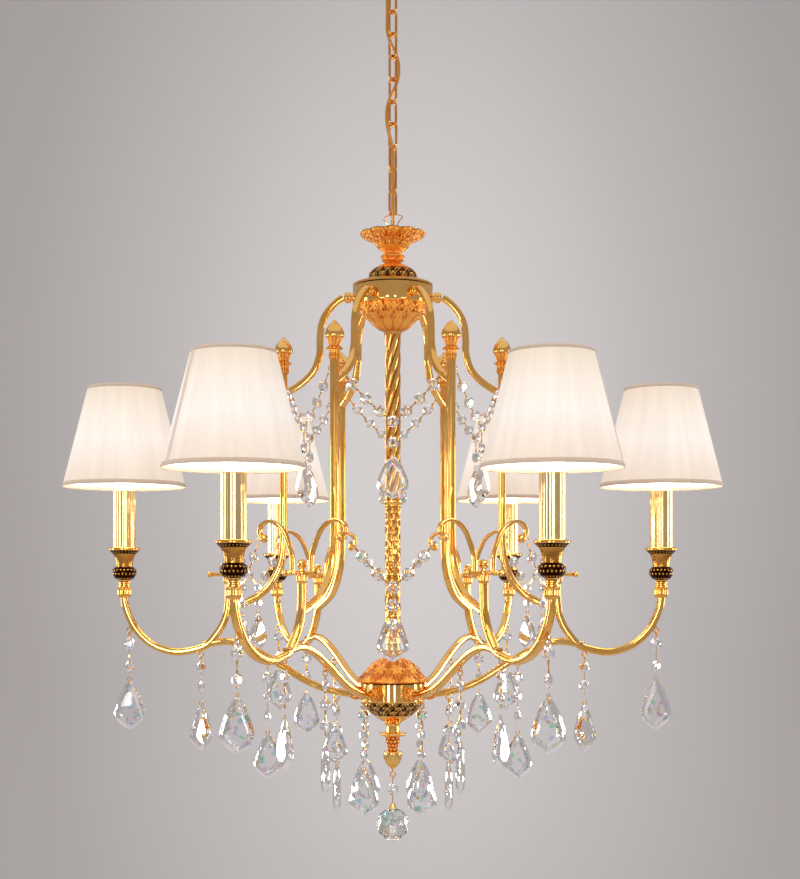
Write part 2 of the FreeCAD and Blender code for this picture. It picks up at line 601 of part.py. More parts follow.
def crystals(arm, branch):
    eyes = [eyelet(OUTER_DROP, arm), eyelet(ARM_DROP, arm), eyelet(INNER_DROP, branch),
            eyelet(HUB_DROP, branch)]
    eye_top = BALL_HOOK + 2 * EYELET_R
    ball_eye = ring(EYELET_R, EYELET_WIRE_R, Vector(0, 0, BALL_HOOK + EYELET_R), Y_AXIS)
    stem = rod(Vector(0, 0, eye_top), Vector(0, 0, eye_top + EYELET_STEM + 1), EYELET_WIRE_R)
    acorn = nodes["base_acorn"].translated(Vector(0, 0, DATUM_DROP))
    ball_eye = ball_eye.fuse(stem).cut(acorn)
    add("drop_eyelets", *each_arm(Part.makeCompound(eyes)), ball_eye)

    for index, piece in enumerate(strands(OUTER_DROP, OUTER_TURN)):
        add(f"outer_drop_{index + 1}", piece)
    for index, piece in enumerate(strands(ARM_DROP, ARM_TURN)):
        add(f"arm_drop_{index + 1}", piece)
    add("inner_drops", *strands(INNER_DROP, INNER_TURN))
    add("hub_drops", *strands(HUB_DROP, HUB_TURN))
    add("upper_swags", *between_arms(swag(POST_R, BAR / 2 + 1.1, UPPER_SWAG)))
    add("lower_swags", *between_arms(swag(INNER_BAR_R, LYRE_TIP, LOWER_SWAG)))

    crown_z = BALL_HOOK + EYELET_WIRE_R + RING_GAP + RING_WIRE_R - RING_R
    top_ring = ring(RING_R, RING_WIRE_R, Vector(0, 0, crown_z), X_AXIS)
    start = Vector(0, 0, crown_z - RING_R - RING_WIRE_R)
    middle = Vector(0, 0, BALL_BEAD)
    ball = Vector(0, 0, BALL_CENTRE)
    cap = turned([(4, -262.2), (2, -257)])
    sphere = Part.makeSphere(BALL_R, ball)
    pieces = [top_ring, bead().translated(middle), sphere, cap.cut(sphere),
              between(start, middle, PIN_GAP, BEAD_R),
              rod(middle - Vector(0, 0, BEAD_R), Vector(0, 0, -257), PIN_R)]
    add("ball_drop", *pieces)


def main():
    ceiling_fitting()
    chain_and_cord()
    knob = crown()
    column()
    arm, branch, post, scroll = bars()
    scroll = largest_solid(scroll.cut(post).cut(knob))
    add("arms", *each_arm(arm))
    add("lower_branches", *each_arm(branch))
    add("posts", *each_arm(post))
    add("crown_scrolls", *each_arm(scroll))
    finial = turned([(5, FINIAL_SEAT), (6.6, 260), (6.6, 269), (9.5, 270.5), (6, 274), (6.6, 275.5),
                     (9, 282), (10.8, 283.7), (10.6, 288), (8.5, 293), (5.5, 297),
                     (2.2, 300), (1.8, 303), (0, 303)], 0, POST_R)
    add("post_finials", *each_arm(finial))
    arm_tops()
    candle()
    shade()
    crystals(arm, branch)

    os.makedirs("parts", exist_ok=True)
    for name, shape in nodes.items():
        assert shape.isValid(), name
        shape.exportStep(f"parts/{name}.step")
    print(len(nodes), "nodes,", sum(len(shape.Solids) for shape in nodes.values()), "solids")


main()
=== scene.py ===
import math

import bpy
from mathutils import Matrix, Vector


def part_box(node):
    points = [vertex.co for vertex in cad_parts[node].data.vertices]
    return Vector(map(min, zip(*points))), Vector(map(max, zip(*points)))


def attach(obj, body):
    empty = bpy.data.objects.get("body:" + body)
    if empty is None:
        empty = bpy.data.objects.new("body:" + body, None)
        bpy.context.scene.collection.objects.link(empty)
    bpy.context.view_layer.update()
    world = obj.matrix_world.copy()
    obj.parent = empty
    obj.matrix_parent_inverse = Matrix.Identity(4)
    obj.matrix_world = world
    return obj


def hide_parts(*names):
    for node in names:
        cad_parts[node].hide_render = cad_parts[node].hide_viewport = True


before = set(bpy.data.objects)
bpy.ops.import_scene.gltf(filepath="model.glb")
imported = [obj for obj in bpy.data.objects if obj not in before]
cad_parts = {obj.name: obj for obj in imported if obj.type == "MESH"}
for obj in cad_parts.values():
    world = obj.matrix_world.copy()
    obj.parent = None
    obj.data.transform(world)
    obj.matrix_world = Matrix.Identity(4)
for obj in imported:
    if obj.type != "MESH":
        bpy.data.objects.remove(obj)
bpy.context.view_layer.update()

# Six-arm brass chandelier with cloth shades and cut crystals. Outlines and centre lines are in
# millimetres, as (radius, height above the arm datum), and are scaled as each piece is made.

MM = 0.001
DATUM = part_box("column_collar")[0][2] - 98.5 * MM
ARMS = 6
CANDLE_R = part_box("candle_sleeves")[1][0] / MM - 13.5
POST_R = 131.0
INNER_BAR_R = 197.0
BAR = 9.2
SCROLL_BAR = 8.6
BRANCH_BAR = 8.8
SHADE_BOTTOM = 122.5
SHADE_TOP = 242.0
SHADE_BOTTOM_R = 73.0
SHADE_TOP_R = 43.2
LYRE_TIP = 56.5
BALL_HOOK = -225.0
BALL_BEAD = -240.0
BALL_CENTRE = -281.5
FIXTURE = "fixture"


# Gathering points and faces

class Shape:
    """Points, faces and relief values being gathered for one piece, in millimetres."""

    def __init__(self):
        self.points = []
        self.faces = []
        self.relief = []
        self.uvs = []

    def add(self, points, faces, place=None, relief=None, uvs=None):
        start = len(self.points)
        self.points += [place @ Vector(p) if place else Vector(p) for p in points]
        self.faces += [[start + i for i in face] for face in faces]
        self.relief += relief or [1.0] * len(points)
        self.uvs += uvs or [(0.0, 0.0)] * len(points)
        return self

    def join(self, other, place=None):
        return self.add(other.points, other.faces, place, other.relief, other.uvs)

    def round_axis(self, offset=0.0):
        """Six copies about the chandelier's axis."""
        ring = Shape()
        for index in range(ARMS):
            ring.join(self, spin(index * 360 / ARMS + offset))
        return ring


def placed(name, data):
    """A new object in the scene."""
    made = bpy.data.objects.new(name, data)
    bpy.context.scene.collection.objects.link(made)
    return made


def make(name, shape, material, stands_for=(), body=FIXTURE, sharp=40):
    """Turn a gathered shape into a piece that rides on a body."""
    mesh = bpy.data.meshes.new(name)
    scaled = [(p.x * MM, p.y * MM, p.z * MM + DATUM) for p in shape.points]
    mesh.from_pydata(scaled, [], shape.faces)
    # The relief values also serve the gold materials as the mask for painted shade in deep relief.
    relief = mesh.attributes.new("relief", "FLOAT", "POINT")
    relief.data.foreach_set("value", shape.relief)
    layer = mesh.uv_layers.new(name="around")
    for corner in mesh.loops:
        layer.data[corner.index].uv = shape.uvs[corner.vertex_index]
    mesh.validate()
    mesh.polygons.foreach_set("use_smooth", [True] * len(mesh.polygons))
    mesh.set_sharp_from_angle(angle=math.radians(sharp))
    mesh.materials.append(material)
    piece = placed(name, mesh)
    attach(piece, body)
    if stands_for:
        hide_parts(*stands_for)
    return piece


def shift(x=0.0, y=0.0, z=0.0):
    return Matrix.Translation((x, y, z))


def spin(degrees, axis="Z"):
    return Matrix.Rotation(math.radians(degrees), 4, axis)


def six(shape, radius):
    """Six copies, one at the given radius on each arm."""
    return Shape().join(shape, shift(radius)).round_axis()


def coat(material, *names):
    """Give CAD nodes that stay as they are a material."""
    for name in names:
        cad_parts[name].data.materials.clear()
        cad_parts[name].data.materials.append(material)


def smooth(points, count):
    """Evenly many points on a curve through the given ones, which may have any dimension."""
    ends = [tuple(2 * a - b for a, b in zip(points[0], points[1]))]
    ends.append(tuple(2 * a - b for a, b in zip(points[-1], points[-2])))
    path = [ends[0]] + list(points) + [ends[1]]
    result = []
    for step in range(count + 1):
        place = step / count * (len(points) - 1)
        index = min(int(place), len(points) - 2)
        t = place - index
        a, b, c, d = path[index:index + 4]
        result.append(tuple(
            0.5 * (2 * q + (r - p) * t + (2 * p - 5 * q + 4 * r - s) * t * t
                   + (3 * q - p - 3 * r + s) * t ** 3)
            for p, q, r, s in zip(a, b, c, d)))
    return result


def fine(outline, step=1.5):
    """The same straight-sided outline with points at least every step."""
    result = [outline[0]]
    for a, b in zip(outline, outline[1:]):
        count = max(1, math.ceil(math.dist(a, b) / step))
        result += [tuple(p + (q - p) * i / count for p, q in zip(a, b))
                   for i in range(1, count + 1)]
    return result


def lathe(outline, segments=72, carve=None, depth=1.0):
    """A turned surface. carve(angle, height, share) gives relief from 0 to 1, times depth."""
    shape = Shape()
    points, relief, uvs = [], [], []
    for row, (r, z) in enumerate(outline):
        share = row / (len(outline) - 1)
        for index in range(segments + 1):
            angle = 2 * math.pi * index / segments
            value = carve(angle, z, share) if carve else 1.0
            radius = max(0.0, r - depth * (1 - value)) if carve else r
            points.append((radius * math.cos(angle), radius * math.sin(angle), z))
            relief.append(value)
            uvs.append((index / segments, share))
    width = segments + 1
    faces = []
    for row in range(len(outline) - 1):
        for index in range(segments):
            a = row * width + index
            faces.append((a, a + 1, a + width + 1, a + width))
    return shape.add(points, faces, None, relief, uvs)


def sweep(path, section):
    """A closed section of (across, sideways) points carried along a path in the XZ plane."""
    shape = Shape()
    points, faces, uvs = [], [], []
    count = len(section)
    for index, (x, z) in enumerate(path):
        before = path[max(index - 1, 0)]
        after = path[min(index + 1, len(path) - 1)]
        along = Vector((after[0] - before[0], 0, after[1] - before[1])).normalized()
        across = Vector((along.z, 0, -along.x))
        for corner, (u, v) in enumerate(section):
            point = Vector((x, 0, z)) + across * u + Vector((0, v, 0))
            points.append(point)
            uvs.append((corner / count, index / len(path)))
    for row in range(len(path) - 1):
        for index in range(count):
            after = (index + 1) % count
            faces.append((row * count + index, row * count + after,
                          (row + 1) * count + after, (row + 1) * count + index))
    faces.append(tuple(range(count))[::-1])
    faces.append(tuple(range(len(points) - count, len(points))))
    return shape.add(points, faces, None, None, uvs)


def square(width, depth, bevel, crown=0.35):
    """Rectangular section with rounded corners and faces that swell a little in the middle."""
    section = []
    for quarter in range(4):
        turn = Matrix.Rotation(math.radians(90 * quarter), 2)
        a, b = (width / 2, depth / 2) if quarter % 2 == 0 else (depth / 2, width / 2)
        section.append(turn @ Vector((a, 0)))
        for angle in (0, 22.5, 45, 67.5, 90):
            reach = math.radians(angle)
            corner = Vector((a - crown - bevel * (1 - math.cos(reach)),
                             b - crown - bevel * (1 - math.sin(reach))))
            section.append(turn @ corner)
    return [tuple(corner) for corner in section]


def circle(radius, count=10):
    return [(radius * math.cos(2 * math.pi * i / count), radius * math.sin(2 * math.pi * i / count))
            for i in range(count)]


def tube(points, radius, count=8):
    """Round wire through points in space, with its frame carried along."""
    shape = Shape()
    places = [Vector(p) for p in points]
    side = None
    rows = []
    for index, place in enumerate(places):
        along = (places[min(index + 1, len(places) - 1)] - places[max(index - 1, 0)]).normalized()
        if side is None:
            side = along.orthogonal().normalized()
        side = (side - along * side.dot(along)).normalized()
        other = along.cross(side)
        rows += [place + side * u + other * v for u, v in circle(radius, count)]
    faces = [(r * count + i, r * count + (i + 1) % count,
              (r + 1) * count + (i + 1) % count, (r + 1) * count + i)
             for r in range(len(places) - 1) for i in range(count)]
    faces.append(tuple(range(count))[::-1])
    faces.append(tuple(range(len(rows) - count, len(rows))))
    return shape.add(rows, faces)


def ring(radius, wire, axis="Z", stretch=0.0, segments=28, count=8):
    """A wire ring round the given axis. stretch lengthens it along Z, as on a chain link."""
    shape = Shape()
    points = []
    for index in range(segments):
        angle = 2 * math.pi * index / segments
        lift = stretch / 2 * (1 if math.sin(angle) > 1e-6 else -1 if math.sin(angle) < -1e-6 else 0)
        for u, v in circle(wire, count):
            reach = radius + u
            a, b = reach * math.cos(angle), reach * math.sin(angle)
            points.append({"Z": (a, b, v), "Y": (a, v, b + lift), "X": (v, a, b + lift)}[axis])
    faces = [(i * count + j, ((i + 1) % segments) * count + j,
              ((i + 1) % segments) * count + (j + 1) % count, i * count + (j + 1) % count)
             for i in range(segments) for j in range(count)]
    return shape.add(points, faces)


def ball(radius, centre, rows=10, segments=20):
    arc = [(radius * math.cos(math.radians(-90 + 180 * i / rows)),
            radius * math.sin(math.radians(-90 + 180 * i / rows))) for i in range(rows + 1)]
    arc = [(max(r, 0.01), z) for r, z in arc]
    return Shape().join(lathe(arc, segments), Matrix.Translation(centre))


# Materials

def material(name):
    made = bpy.data.materials.new(name)
    made.use_nodes = True
    shader = made.node_tree.nodes["Principled BSDF"]
    return made, made.node_tree, shader


def uniform(shader, **values):
    """Values that are the same all over the surface, set on the shader's own sockets."""
    for key, value in values.items():
        shader.inputs[key.replace("_", " ")].default_value = value


def node(tree, kind, **values):
    made = tree.nodes.new(kind)
    for key, value in values.items():
        if hasattr(made, key):
            setattr(made, key, value)
        else:
            made.inputs[key.replace("_", " ")].default_value = value
    return made


def colour_to(tree, source, shader, socket):
    tree.links.new(source.outputs["Color"], shader.inputs[socket])


def pattern(tree, space, kind, **values):
    """A texture laid in the object's own space or along its UVs."""
    made = node(tree, kind, **values)
    place = node(tree, "ShaderNodeTexCoord")
    tree.links.new(place.outputs[space], made.inputs["Vector"])
    return made


def ramp(tree, source, stops):
    made = tree.nodes.new("ShaderNodeValToRGB")
    while len(made.color_ramp.elements) < len(stops):
        made.color_ramp.elements.new(0.5)
    for element, (place, colour) in zip(made.color_ramp.elements, stops):
        element.position = place
        element.color = (*colour, 1.0) if isinstance(colour, tuple) else (colour,) * 3 + (1.0,)
    tree.links.new(source, made.inputs["Fac"])
    return made


def emboss(tree, shader, texture, strength, distance):
    """Let a texture raise the surface by up to the distance, in metres."""
    relief = node(tree, "ShaderNodeBump", Strength=strength, Distance=distance)
    tree.links.new(texture.outputs["Fac"], relief.inputs["Height"])
    tree.links.new(relief.outputs["Normal"], shader.inputs["Normal"])


def polished_gold(name, light, dark, rough, cast=None, proud=0.6, bump=0.015, scale=260.0,
                  metallic=1.0):
    """Gold plate with faint clouding and polishing marks.

    cast is the painted shade colour at deep relief, and proud the relief from which no shade is painted.
    """
    made, tree, shader = material(name)
    cloud = pattern(tree, "Object", "ShaderNodeTexNoise", Scale=34.0, Detail=4.0)
    tint = ramp(tree, cloud.outputs["Fac"], [(0.3, dark), (0.7, light)])
    colour = tint.outputs["Color"]
    grain = pattern(tree, "Object", "ShaderNodeTexNoise", Scale=scale, Detail=3.0)
    # Painted shade: where the relief is deep, the colour is multiplied down towards the cast colour, as
    # in shaded crevices.
    if cast:
        deep = node(tree, "ShaderNodeAttribute", attribute_name="relief")
        shade = ramp(tree, deep.outputs["Fac"], [(proud - 0.55, cast), (proud, (1.0, 0.95, 0.9))])
        mix = node(tree, "ShaderNodeMix", data_type="RGBA", blend_type="MULTIPLY")
        mix.inputs["Factor"].default_value = 1.0
        tree.links.new(colour, mix.inputs["A"])
        tree.links.new(shade.outputs["Color"], mix.inputs["B"])
        colour = mix.outputs["Result"]
    tree.links.new(colour, shader.inputs["Base Color"])
    spread = ramp(tree, grain.outputs["Fac"], [(0.25, rough * 0.7), (0.8, rough * 1.5)])
    colour_to(tree, spread, shader, "Roughness")
    emboss(tree, shader, grain, bump, 0.0006)
    uniform(shader, Metallic=metallic)
    return made


def crystal_glass(name):
    """Lead crystal: clear, with small painted flashes of spectral colour in place of dispersion, and a
    trace of smearing.
    """
    made, tree, shader = material(name)
    cells = pattern(tree, "Object", "ShaderNodeTexVoronoi", Scale=230.0)
    split = node(tree, "ShaderNodeSeparateColor")
    tree.links.new(cells.outputs["Color"], split.inputs["Color"])
    clear = (0.985, 0.985, 0.995)
    # Painted dispersion: a few cells are tinted orange, green, blue and pink to stand in for the spectral
    # flashes of cut crystal.
    painted_dispersion = ramp(tree, split.outputs["Red"], [
        (0.0, clear), (0.86, clear), (0.88, (1.0, 0.70, 0.25)), (0.91, (0.25, 0.85, 0.42)),
        (0.94, (0.32, 0.58, 1.0)), (0.97, (0.95, 0.4, 0.6)), (1.0, clear)])
    colour_to(tree, painted_dispersion, shader, "Base Color")
    smear = pattern(tree, "Object", "ShaderNodeTexNoise", Scale=90.0, Detail=2.0)
    spread = ramp(tree, smear.outputs["Fac"], [(0.4, 0.0), (0.9, 0.012)])
    colour_to(tree, spread, shader, "Roughness")
    uniform(shader, IOR=1.55, Transmission_Weight=1.0)
    return made


def shade_cloth(name):
    """Ivory cloth stretched on a frame, with the lamp's glow painted on as emission: warm white low down,
    beige above, and painted shade of faint vertical folds.
    """
    made, tree, shader = material(name)
    place = node(tree, "ShaderNodeTexCoord")
    split = node(tree, "ShaderNodeSeparateXYZ")
    tree.links.new(place.outputs["UV"], split.inputs["Vector"])
    # Noise stretched into vertical streaks, used to dim the painted glow as painted shade of folds.
    fold_shade_noise = node(tree, "ShaderNodeTexNoise", Scale=1.0, Detail=6.0, Roughness=0.6)
    stretch = node(tree, "ShaderNodeMapping")
    stretch.inputs["Scale"].default_value = (30.0, 0.7, 1.0)
    tree.links.new(place.outputs["UV"], stretch.inputs["Vector"])
    tree.links.new(stretch.outputs["Vector"], fold_shade_noise.inputs["Vector"])
    weave = pattern(tree, "UV", "ShaderNodeTexWave", Scale=58.0, Distortion=0.6)
    # Painted glow: emission colour set by height up the shade, brightest around the lamp.
    painted_glow = ramp(tree, split.outputs["Y"], [
        (0.0, (0.74, 0.58, 0.45)), (0.2, (0.88, 0.76, 0.66)), (0.45, (1.0, 0.955, 0.91)),
        (0.7, (0.94, 0.86, 0.76)), (1.0, (0.72, 0.58, 0.42))])
    painted_fold_shade = ramp(tree, fold_shade_noise.outputs["Fac"], [(0.35, 0.84), (0.62, 1.0)])
    mix = node(tree, "ShaderNodeMix", data_type="RGBA", blend_type="MULTIPLY")
    mix.inputs["Factor"].default_value = 1.0
    tree.links.new(painted_glow.outputs["Color"], mix.inputs["A"])
    tree.links.new(painted_fold_shade.outputs["Color"], mix.inputs["B"])
    tree.links.new(mix.outputs["Result"], shader.inputs["Emission Color"])
    uniform(shader, Emission_Strength=0.53, Base_Color=(0.52, 0.46, 0.40, 1.0), Roughness=0.85,
            Sheen_Weight=0.2)
    emboss(tree, shader, weave, 0.12, 0.0004)
    return made


def shade_tape(name, low, high):
    """Ribbed tape, as rolled over the shade's rims."""
    made, tree, shader = material(name)
    weave = pattern(tree, "UV", "ShaderNodeTexWave", Scale=90.0, Distortion=0.4)
    tint = ramp(tree, weave.outputs["Fac"], [(0.2, low), (0.8, high)])
    colour_to(tree, tint, shader, "Base Color")
    emboss(tree, shader, weave, 0.5, 0.0004)
    uniform(shader, Roughness=0.8, Sheen_Weight=0.3)
    return made


def shade_lining(name):
    """White inner face, with the lamp's light painted on as a strong glow."""
    made, tree, shader = material(name)
    cloud = pattern(tree, "Object", "ShaderNodeTexNoise", Scale=90.0, Detail=3.0)
    tint = ramp(tree, cloud.outputs["Fac"], [(0.2, (1.0, 0.95, 0.88)), (0.8, (1.0, 0.985, 0.95))])
    colour_to(tree, tint, shader, "Base Color")
    # Painted glow: the lining's own colour is also emitted.
    colour_to(tree, tint, shader, "Emission Color")
    uniform(shader, Emission_Strength=1.6, Roughness=0.9)
    return made


def lamp_glass(name):
    made, tree, shader = material(name)
    cloud = pattern(tree, "Object", "ShaderNodeTexNoise", Scale=60.0)
    tint = ramp(tree, cloud.outputs["Fac"], [(0.2, (1.0, 0.86, 0.66)), (0.8, (1.0, 0.92, 0.76))])
    colour_to(tree, tint, shader, "Emission Color")
    uniform(shader, Emission_Strength=9.0, Base_Color=(1.0, 0.95, 0.85, 1.0), Roughness=0.3)
    return made


def plain(name, low, high, rough, metal=0.0, scale=80.0, bump=0.15):
    """Everyday finish with a little colour and roughness variation."""
    made, tree, shader = material(name)
    cloud = pattern(tree, "Object", "ShaderNodeTexNoise", Scale=scale, Detail=5.0)
    tint = ramp(tree, cloud.outputs["Fac"], [(0.3, low), (0.7, high)])
    colour_to(tree, tint, shader, "Base Color")
    spread = ramp(tree, cloud.outputs["Fac"], [(0.2, rough * 0.8), (0.8, rough * 1.2)])
    colour_to(tree, spread, shader, "Roughness")
    emboss(tree, shader, cloud, bump, 0.0005)
    uniform(shader, Metallic=metal)
    return made


def cord_sheath(name):
    """Amber see-through sheath over twisted gold strands."""
    made, tree, shader = material(name)
    lay = pattern(tree, "Object", "ShaderNodeTexWave",
                  Scale=210.0, Distortion=1.0, bands_direction="DIAGONAL")
    tint = ramp(tree, lay.outputs["Fac"], [(0.15, (0.42, 0.14, 0.015)), (0.75, (0.86, 0.42, 0.07))])
    colour_to(tree, tint, shader, "Base Color")
    uniform(shader, Roughness=0.18, Metallic=0.55, Coat_Weight=0.8, Coat_Roughness=0.06)
    return made


GOLD = polished_gold("polished_gold", (1.0, 0.62, 0.20), (0.93, 0.48, 0.10), 0.07)
# Painted shade: a dark orange-brown is multiplied in where the ornament's relief is deep.
CAST_GOLD = polished_gold("cast_gold", (1.0, 0.52, 0.11), (0.93, 0.38, 0.05), 0.18,
                          (0.52, 0.17, 0.02), 0.6, 0.6, 800.0, 0.7)
SATIN_GOLD = polished_gold("satin_gold", (1.0, 0.44, 0.07), (0.95, 0.35, 0.04), 0.2, metallic=0.6)
SLEEVE_GOLD = polished_gold("sleeve_gold", (1.0, 0.78, 0.42), (0.95, 0.65, 0.27), 0.09)
# Painted shade: near black is multiplied in over most of the relief, leaving only the proudest points
# bright, as in deep shaded crevices.
CAST_GOLD_PAINTED_SHADE = polished_gold("cast_gold_painted_shade", (1.0, 0.60, 0.18), (0.93, 0.46, 0.09), 0.14,
                               (0.025, 0.010, 0.003), 0.95, 0.15, 520.0)
# Painted reflection: gold darkened and clouded down to near black, standing in for dark surroundings
# mirrored in the polished candle bells.
GOLD_PAINTED_DARK_REFLECTION = polished_gold("gold_painted_dark_reflection", (0.85, 0.42, 0.09), (0.30, 0.12, 0.02), 0.12, None, 0.6, 0.35,
                          560.0)
# Painted shade: brown is multiplied into the grooves of the twisted and barked column where the relief is
# deep.
COLUMN_GOLD = polished_gold("column_gold", (1.0, 0.62, 0.20), (0.93, 0.48, 0.10), 0.1,
                            (0.45, 0.19, 0.035), 0.7)
CHAIN_GOLD = polished_gold("chain_gold", (0.96, 0.48, 0.11), (0.80, 0.34, 0.06), 0.16)
CRYSTAL = crystal_glass("lead_crystal")
CLOTH = shade_cloth("ivory_cloth")
TAPE = shade_tape("taupe_tape", (0.46, 0.35, 0.26), (0.70, 0.56, 0.44))
SEAM_TAPE = shade_tape("seam_tape", (0.74, 0.60, 0.47), (0.90, 0.76, 0.63))
LINING = shade_lining("white_lining")
LAMP = lamp_glass("lit_lamp")
ZINC = plain("zinc_steel", (0.45, 0.45, 0.43), (0.68, 0.67, 0.64), 0.35, 1.0)
HOLDER = plain("holder_plastic", (0.72, 0.68, 0.6), (0.84, 0.8, 0.72), 0.5)
CORD = cord_sheath("amber_sheath")


# Relief patterns, each from 0, deep, to 1, proud

def staggered(angle, share, count, rows):
    """Place across one of count cells, the row's number and the height in rows."""
    row = share * rows
    index = int(min(row, rows - 1e-6))
    return (angle * count / (2 * math.pi) + 0.5 * (index % 2)) % 1.0 - 0.5, index, row


def leaves(count, veins=3, sharp=0.7):
    """Upright leaves side by side, each with veins that fan from its foot."""
    def value(angle, height, share):
        turn = angle * count / (2 * math.pi) % 1.0 - 0.5
        edge = abs(turn) * 2
        tip = 1 - share
        body = max(0.0, 1 - (edge / max(0.35 + 0.65 * math.sin(math.pi * min(tip + 0.1, 1)), 0.2)) ** 4)
        vein = 0.5 + 0.5 * math.cos(turn * 2 * math.pi * veins * (1 + share * 0.6))
        return sharp * body + (1 - sharp) * vein
    return value


def rosettes(count, rows=3):
    """Overlapping round bosses in staggered rows, as on cast flower work."""
    def value(angle, height, share):
        turn, index, row = staggered(angle, share, count, rows)
        rise = row - index - 0.5
        away = math.hypot(turn * 2, rise * 2)
        petals = 0.78 + 0.22 * math.cos(6 * math.atan2(rise, turn))
        dome = max(0.0, 1 - (away / petals) ** 2) ** 0.5 if away < petals else 0.0
        eye = 0.35 * max(0.0, 1 - (away / 0.3) ** 2)
        return min(1.0, 0.82 * dome + eye)
    return value


def foliage(count, rows, seed=0.0):
    """Crowded cast leaves: curled lobes in staggered rows, with small grains along their edges."""
    def value(angle, height, share):
        turn, index, row = staggered(angle, share, count, rows)
        rise = row - index
        lobe = 1 - abs(2 * turn) ** 2.2 - (1 - rise) ** 3 * 0.6
        vein = 0.5 + 0.5 * math.cos(turn * 2 * math.pi * 4 + (turn > 0) * rise * 5)
        grain = math.sin(angle * count * 3 + seed) * math.sin(share * rows * 7.5 + angle * 5)
        return max(0.0, min(1.0, 0.5 * lobe + 0.28 * vein + 0.32 * grain + 0.15))
    return value


def dots(count, rows):
    """Rows of small raised beads on a deep ground."""
    def value(angle, height, share):
        turn, index, row = staggered(angle, share, count, rows)
        return max(0.0, 1 - 2.6 * math.hypot(turn, row - index - 0.5)) ** 0.6
    return value


def flutes(count, power=1.0):
    """Upright rounded ribs."""
    def value(angle, height, share):
        return abs(math.cos(angle * count / 2)) ** power
    return value


def rope(strands, lead):
    """Strands that climb as they turn, one full turn in the given height."""
    def value(angle, height, share):
        return abs(math.cos((angle - 2 * math.pi * height / lead) * strands / 2)) ** 0.8
    return value


def bark(count, step):
    """Short staggered scales with a ridge down each, as on a palm trunk."""
    def value(angle, height, share):
        row = math.floor(height / step)
        rise = height / step - row
        turn = (angle * count / (2 * math.pi) + 0.5 * (row % 2) + 0.12 * math.sin(row * 5)) % 1.0 - 0.5
        scale = 1 - rise * 0.75 - 0.5 * abs(turn) * 2
        return max(0.0, min(1.0, scale + 0.35))
    return value


def beads_round(count):
    """A row of round beads."""
    def value(angle, height, share):
        turn = (angle * count / (2 * math.pi)) % 1.0 - 0.5
        away = math.hypot(turn * 2, share * 2 - 1)
        return max(0.0, 1 - away ** 2) ** 0.5
    return value


# The metal body

def ceiling_fitting():
    low = (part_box("canopy")[0][2] - DATUM) / MM
    top = (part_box("canopy")[1][2] - DATUM) / MM
    outer = smooth([(11.2, low), (24, low + 0.6), (34, low + 4.5), (45, low + 14), (52, low + 24),
                    (56.5, low + 33)], 40)
    outer += [(57.5, low + 35.5), (61, low + 36.2), (62, low + 37.4), (62, top)]
    inner = [(60.8, top), (60.8, low + 38.4), (56, low + 36.5), (51, low + 25.5), (44, low + 15.2),
             (33, low + 5.8), (24, low + 1.9), (11.2, low + 1.2), (11.2, low)]
    make("canopy_bell", lathe(outer + inner, 96), GOLD, ["canopy"], "canopy_cover")
    knurl = lathe(fine([(11.2, low - 0.2), (14, low - 0.2), (15, low - 1.2), (15, low - 6.8),
                        (14, low - 8), (11.2, low - 8), (11.2, low - 0.2)], 1.0), 96,
                  flutes(32), 0.5)
    make("collar_ring", knurl, GOLD, ["canopy_collar"], "canopy_cover")
    coat(ZINC, "ceiling_bracket", "ceiling_nipple", "ceiling_nut")
    coat(GOLD, "ceiling_loop")


LINK_TWIST = [45, 131, 48, 138, 47, 133, 47, 136, 42, 134]


def chain():
    first, pitch, wire = 448.4, 27.0, 1.5
    half = 5.5
    links = Shape()
    for index, twist in enumerate(LINK_TWIST):
        link = ring(half, wire, "Y", pitch + 0.1 + 2 * wire - 2 * half, 40, 10)
        centre = first + index * pitch + (pitch + 0.1 + 2 * wire) / 2
        links.join(link, shift(z=centre) @ spin(twist))
    make("chain", links, CHAIN_GOLD, ["chain_links"])

    corner, apex, seat = 446.8, 451.3, 434.0
    left = smooth([(-5, seat), (-8, seat + 7), (-11.6, corner - 2.4), (-12, corner), (-10.4, corner + 1),
                   (-5, apex - 1.9), (0, apex), (5, apex - 1.9), (10.4, corner + 1), (12, corner),
                   (11.6, corner - 2.4), (8, seat + 7), (5, seat)], 60)
    bail = tube([(x, 0, z) for x, z in left], 0.65)
    bail = Shape().join(bail, spin(-20))
    make("bail_wire", bail, GOLD, ["hanger_bail"])


CORD_ROUTE = [
    (0.8, 0.0, 741.0),
    (-7.1, -0.3, 717.0),
    (-6.2, 0.4, 691.0),
    (-7.2, -0.2, 664.4),
    (7.2, 0.3, 637.4),
    (7.2, -0.3, 610.4),
    (-7.2, 0.2, 583.4),
    (-7.5, -0.3, 556.4),
    (0.2, -7.5, 529.4),
    (-0.3, -6.2, 502.4),
    (0.3, -6.6, 475.4),
    (0.0, -6.6, 451.0),
    (0.0, -2.6, 437.0),
    (0.0, -2.5, 425.0),
]


def cord():
    """The supply cord, woven through the chain down into the dish's stem."""
    curve = bpy.data.curves.new("power_lead", "CURVE")
    curve.dimensions = "3D"
    spline = curve.splines.new("NURBS")
    spline.points.add(len(CORD_ROUTE) - 1)
    for point, (x, y, z) in zip(spline.points, CORD_ROUTE):
        point.co = (x * MM, y * MM, z * MM + DATUM, 1.0)
    spline.order_u = 3
    spline.use_endpoint_u = True
    spline.resolution_u = 10
    curve.bevel_depth = 0.002
    curve.bevel_resolution = 4
    curve.use_fill_caps = True
    curve.materials.append(CORD)
    lead = placed("power_lead", curve)
    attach(lead, FIXTURE)
    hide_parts("power_cord")
    x, y, z = CORD_ROUTE[0]


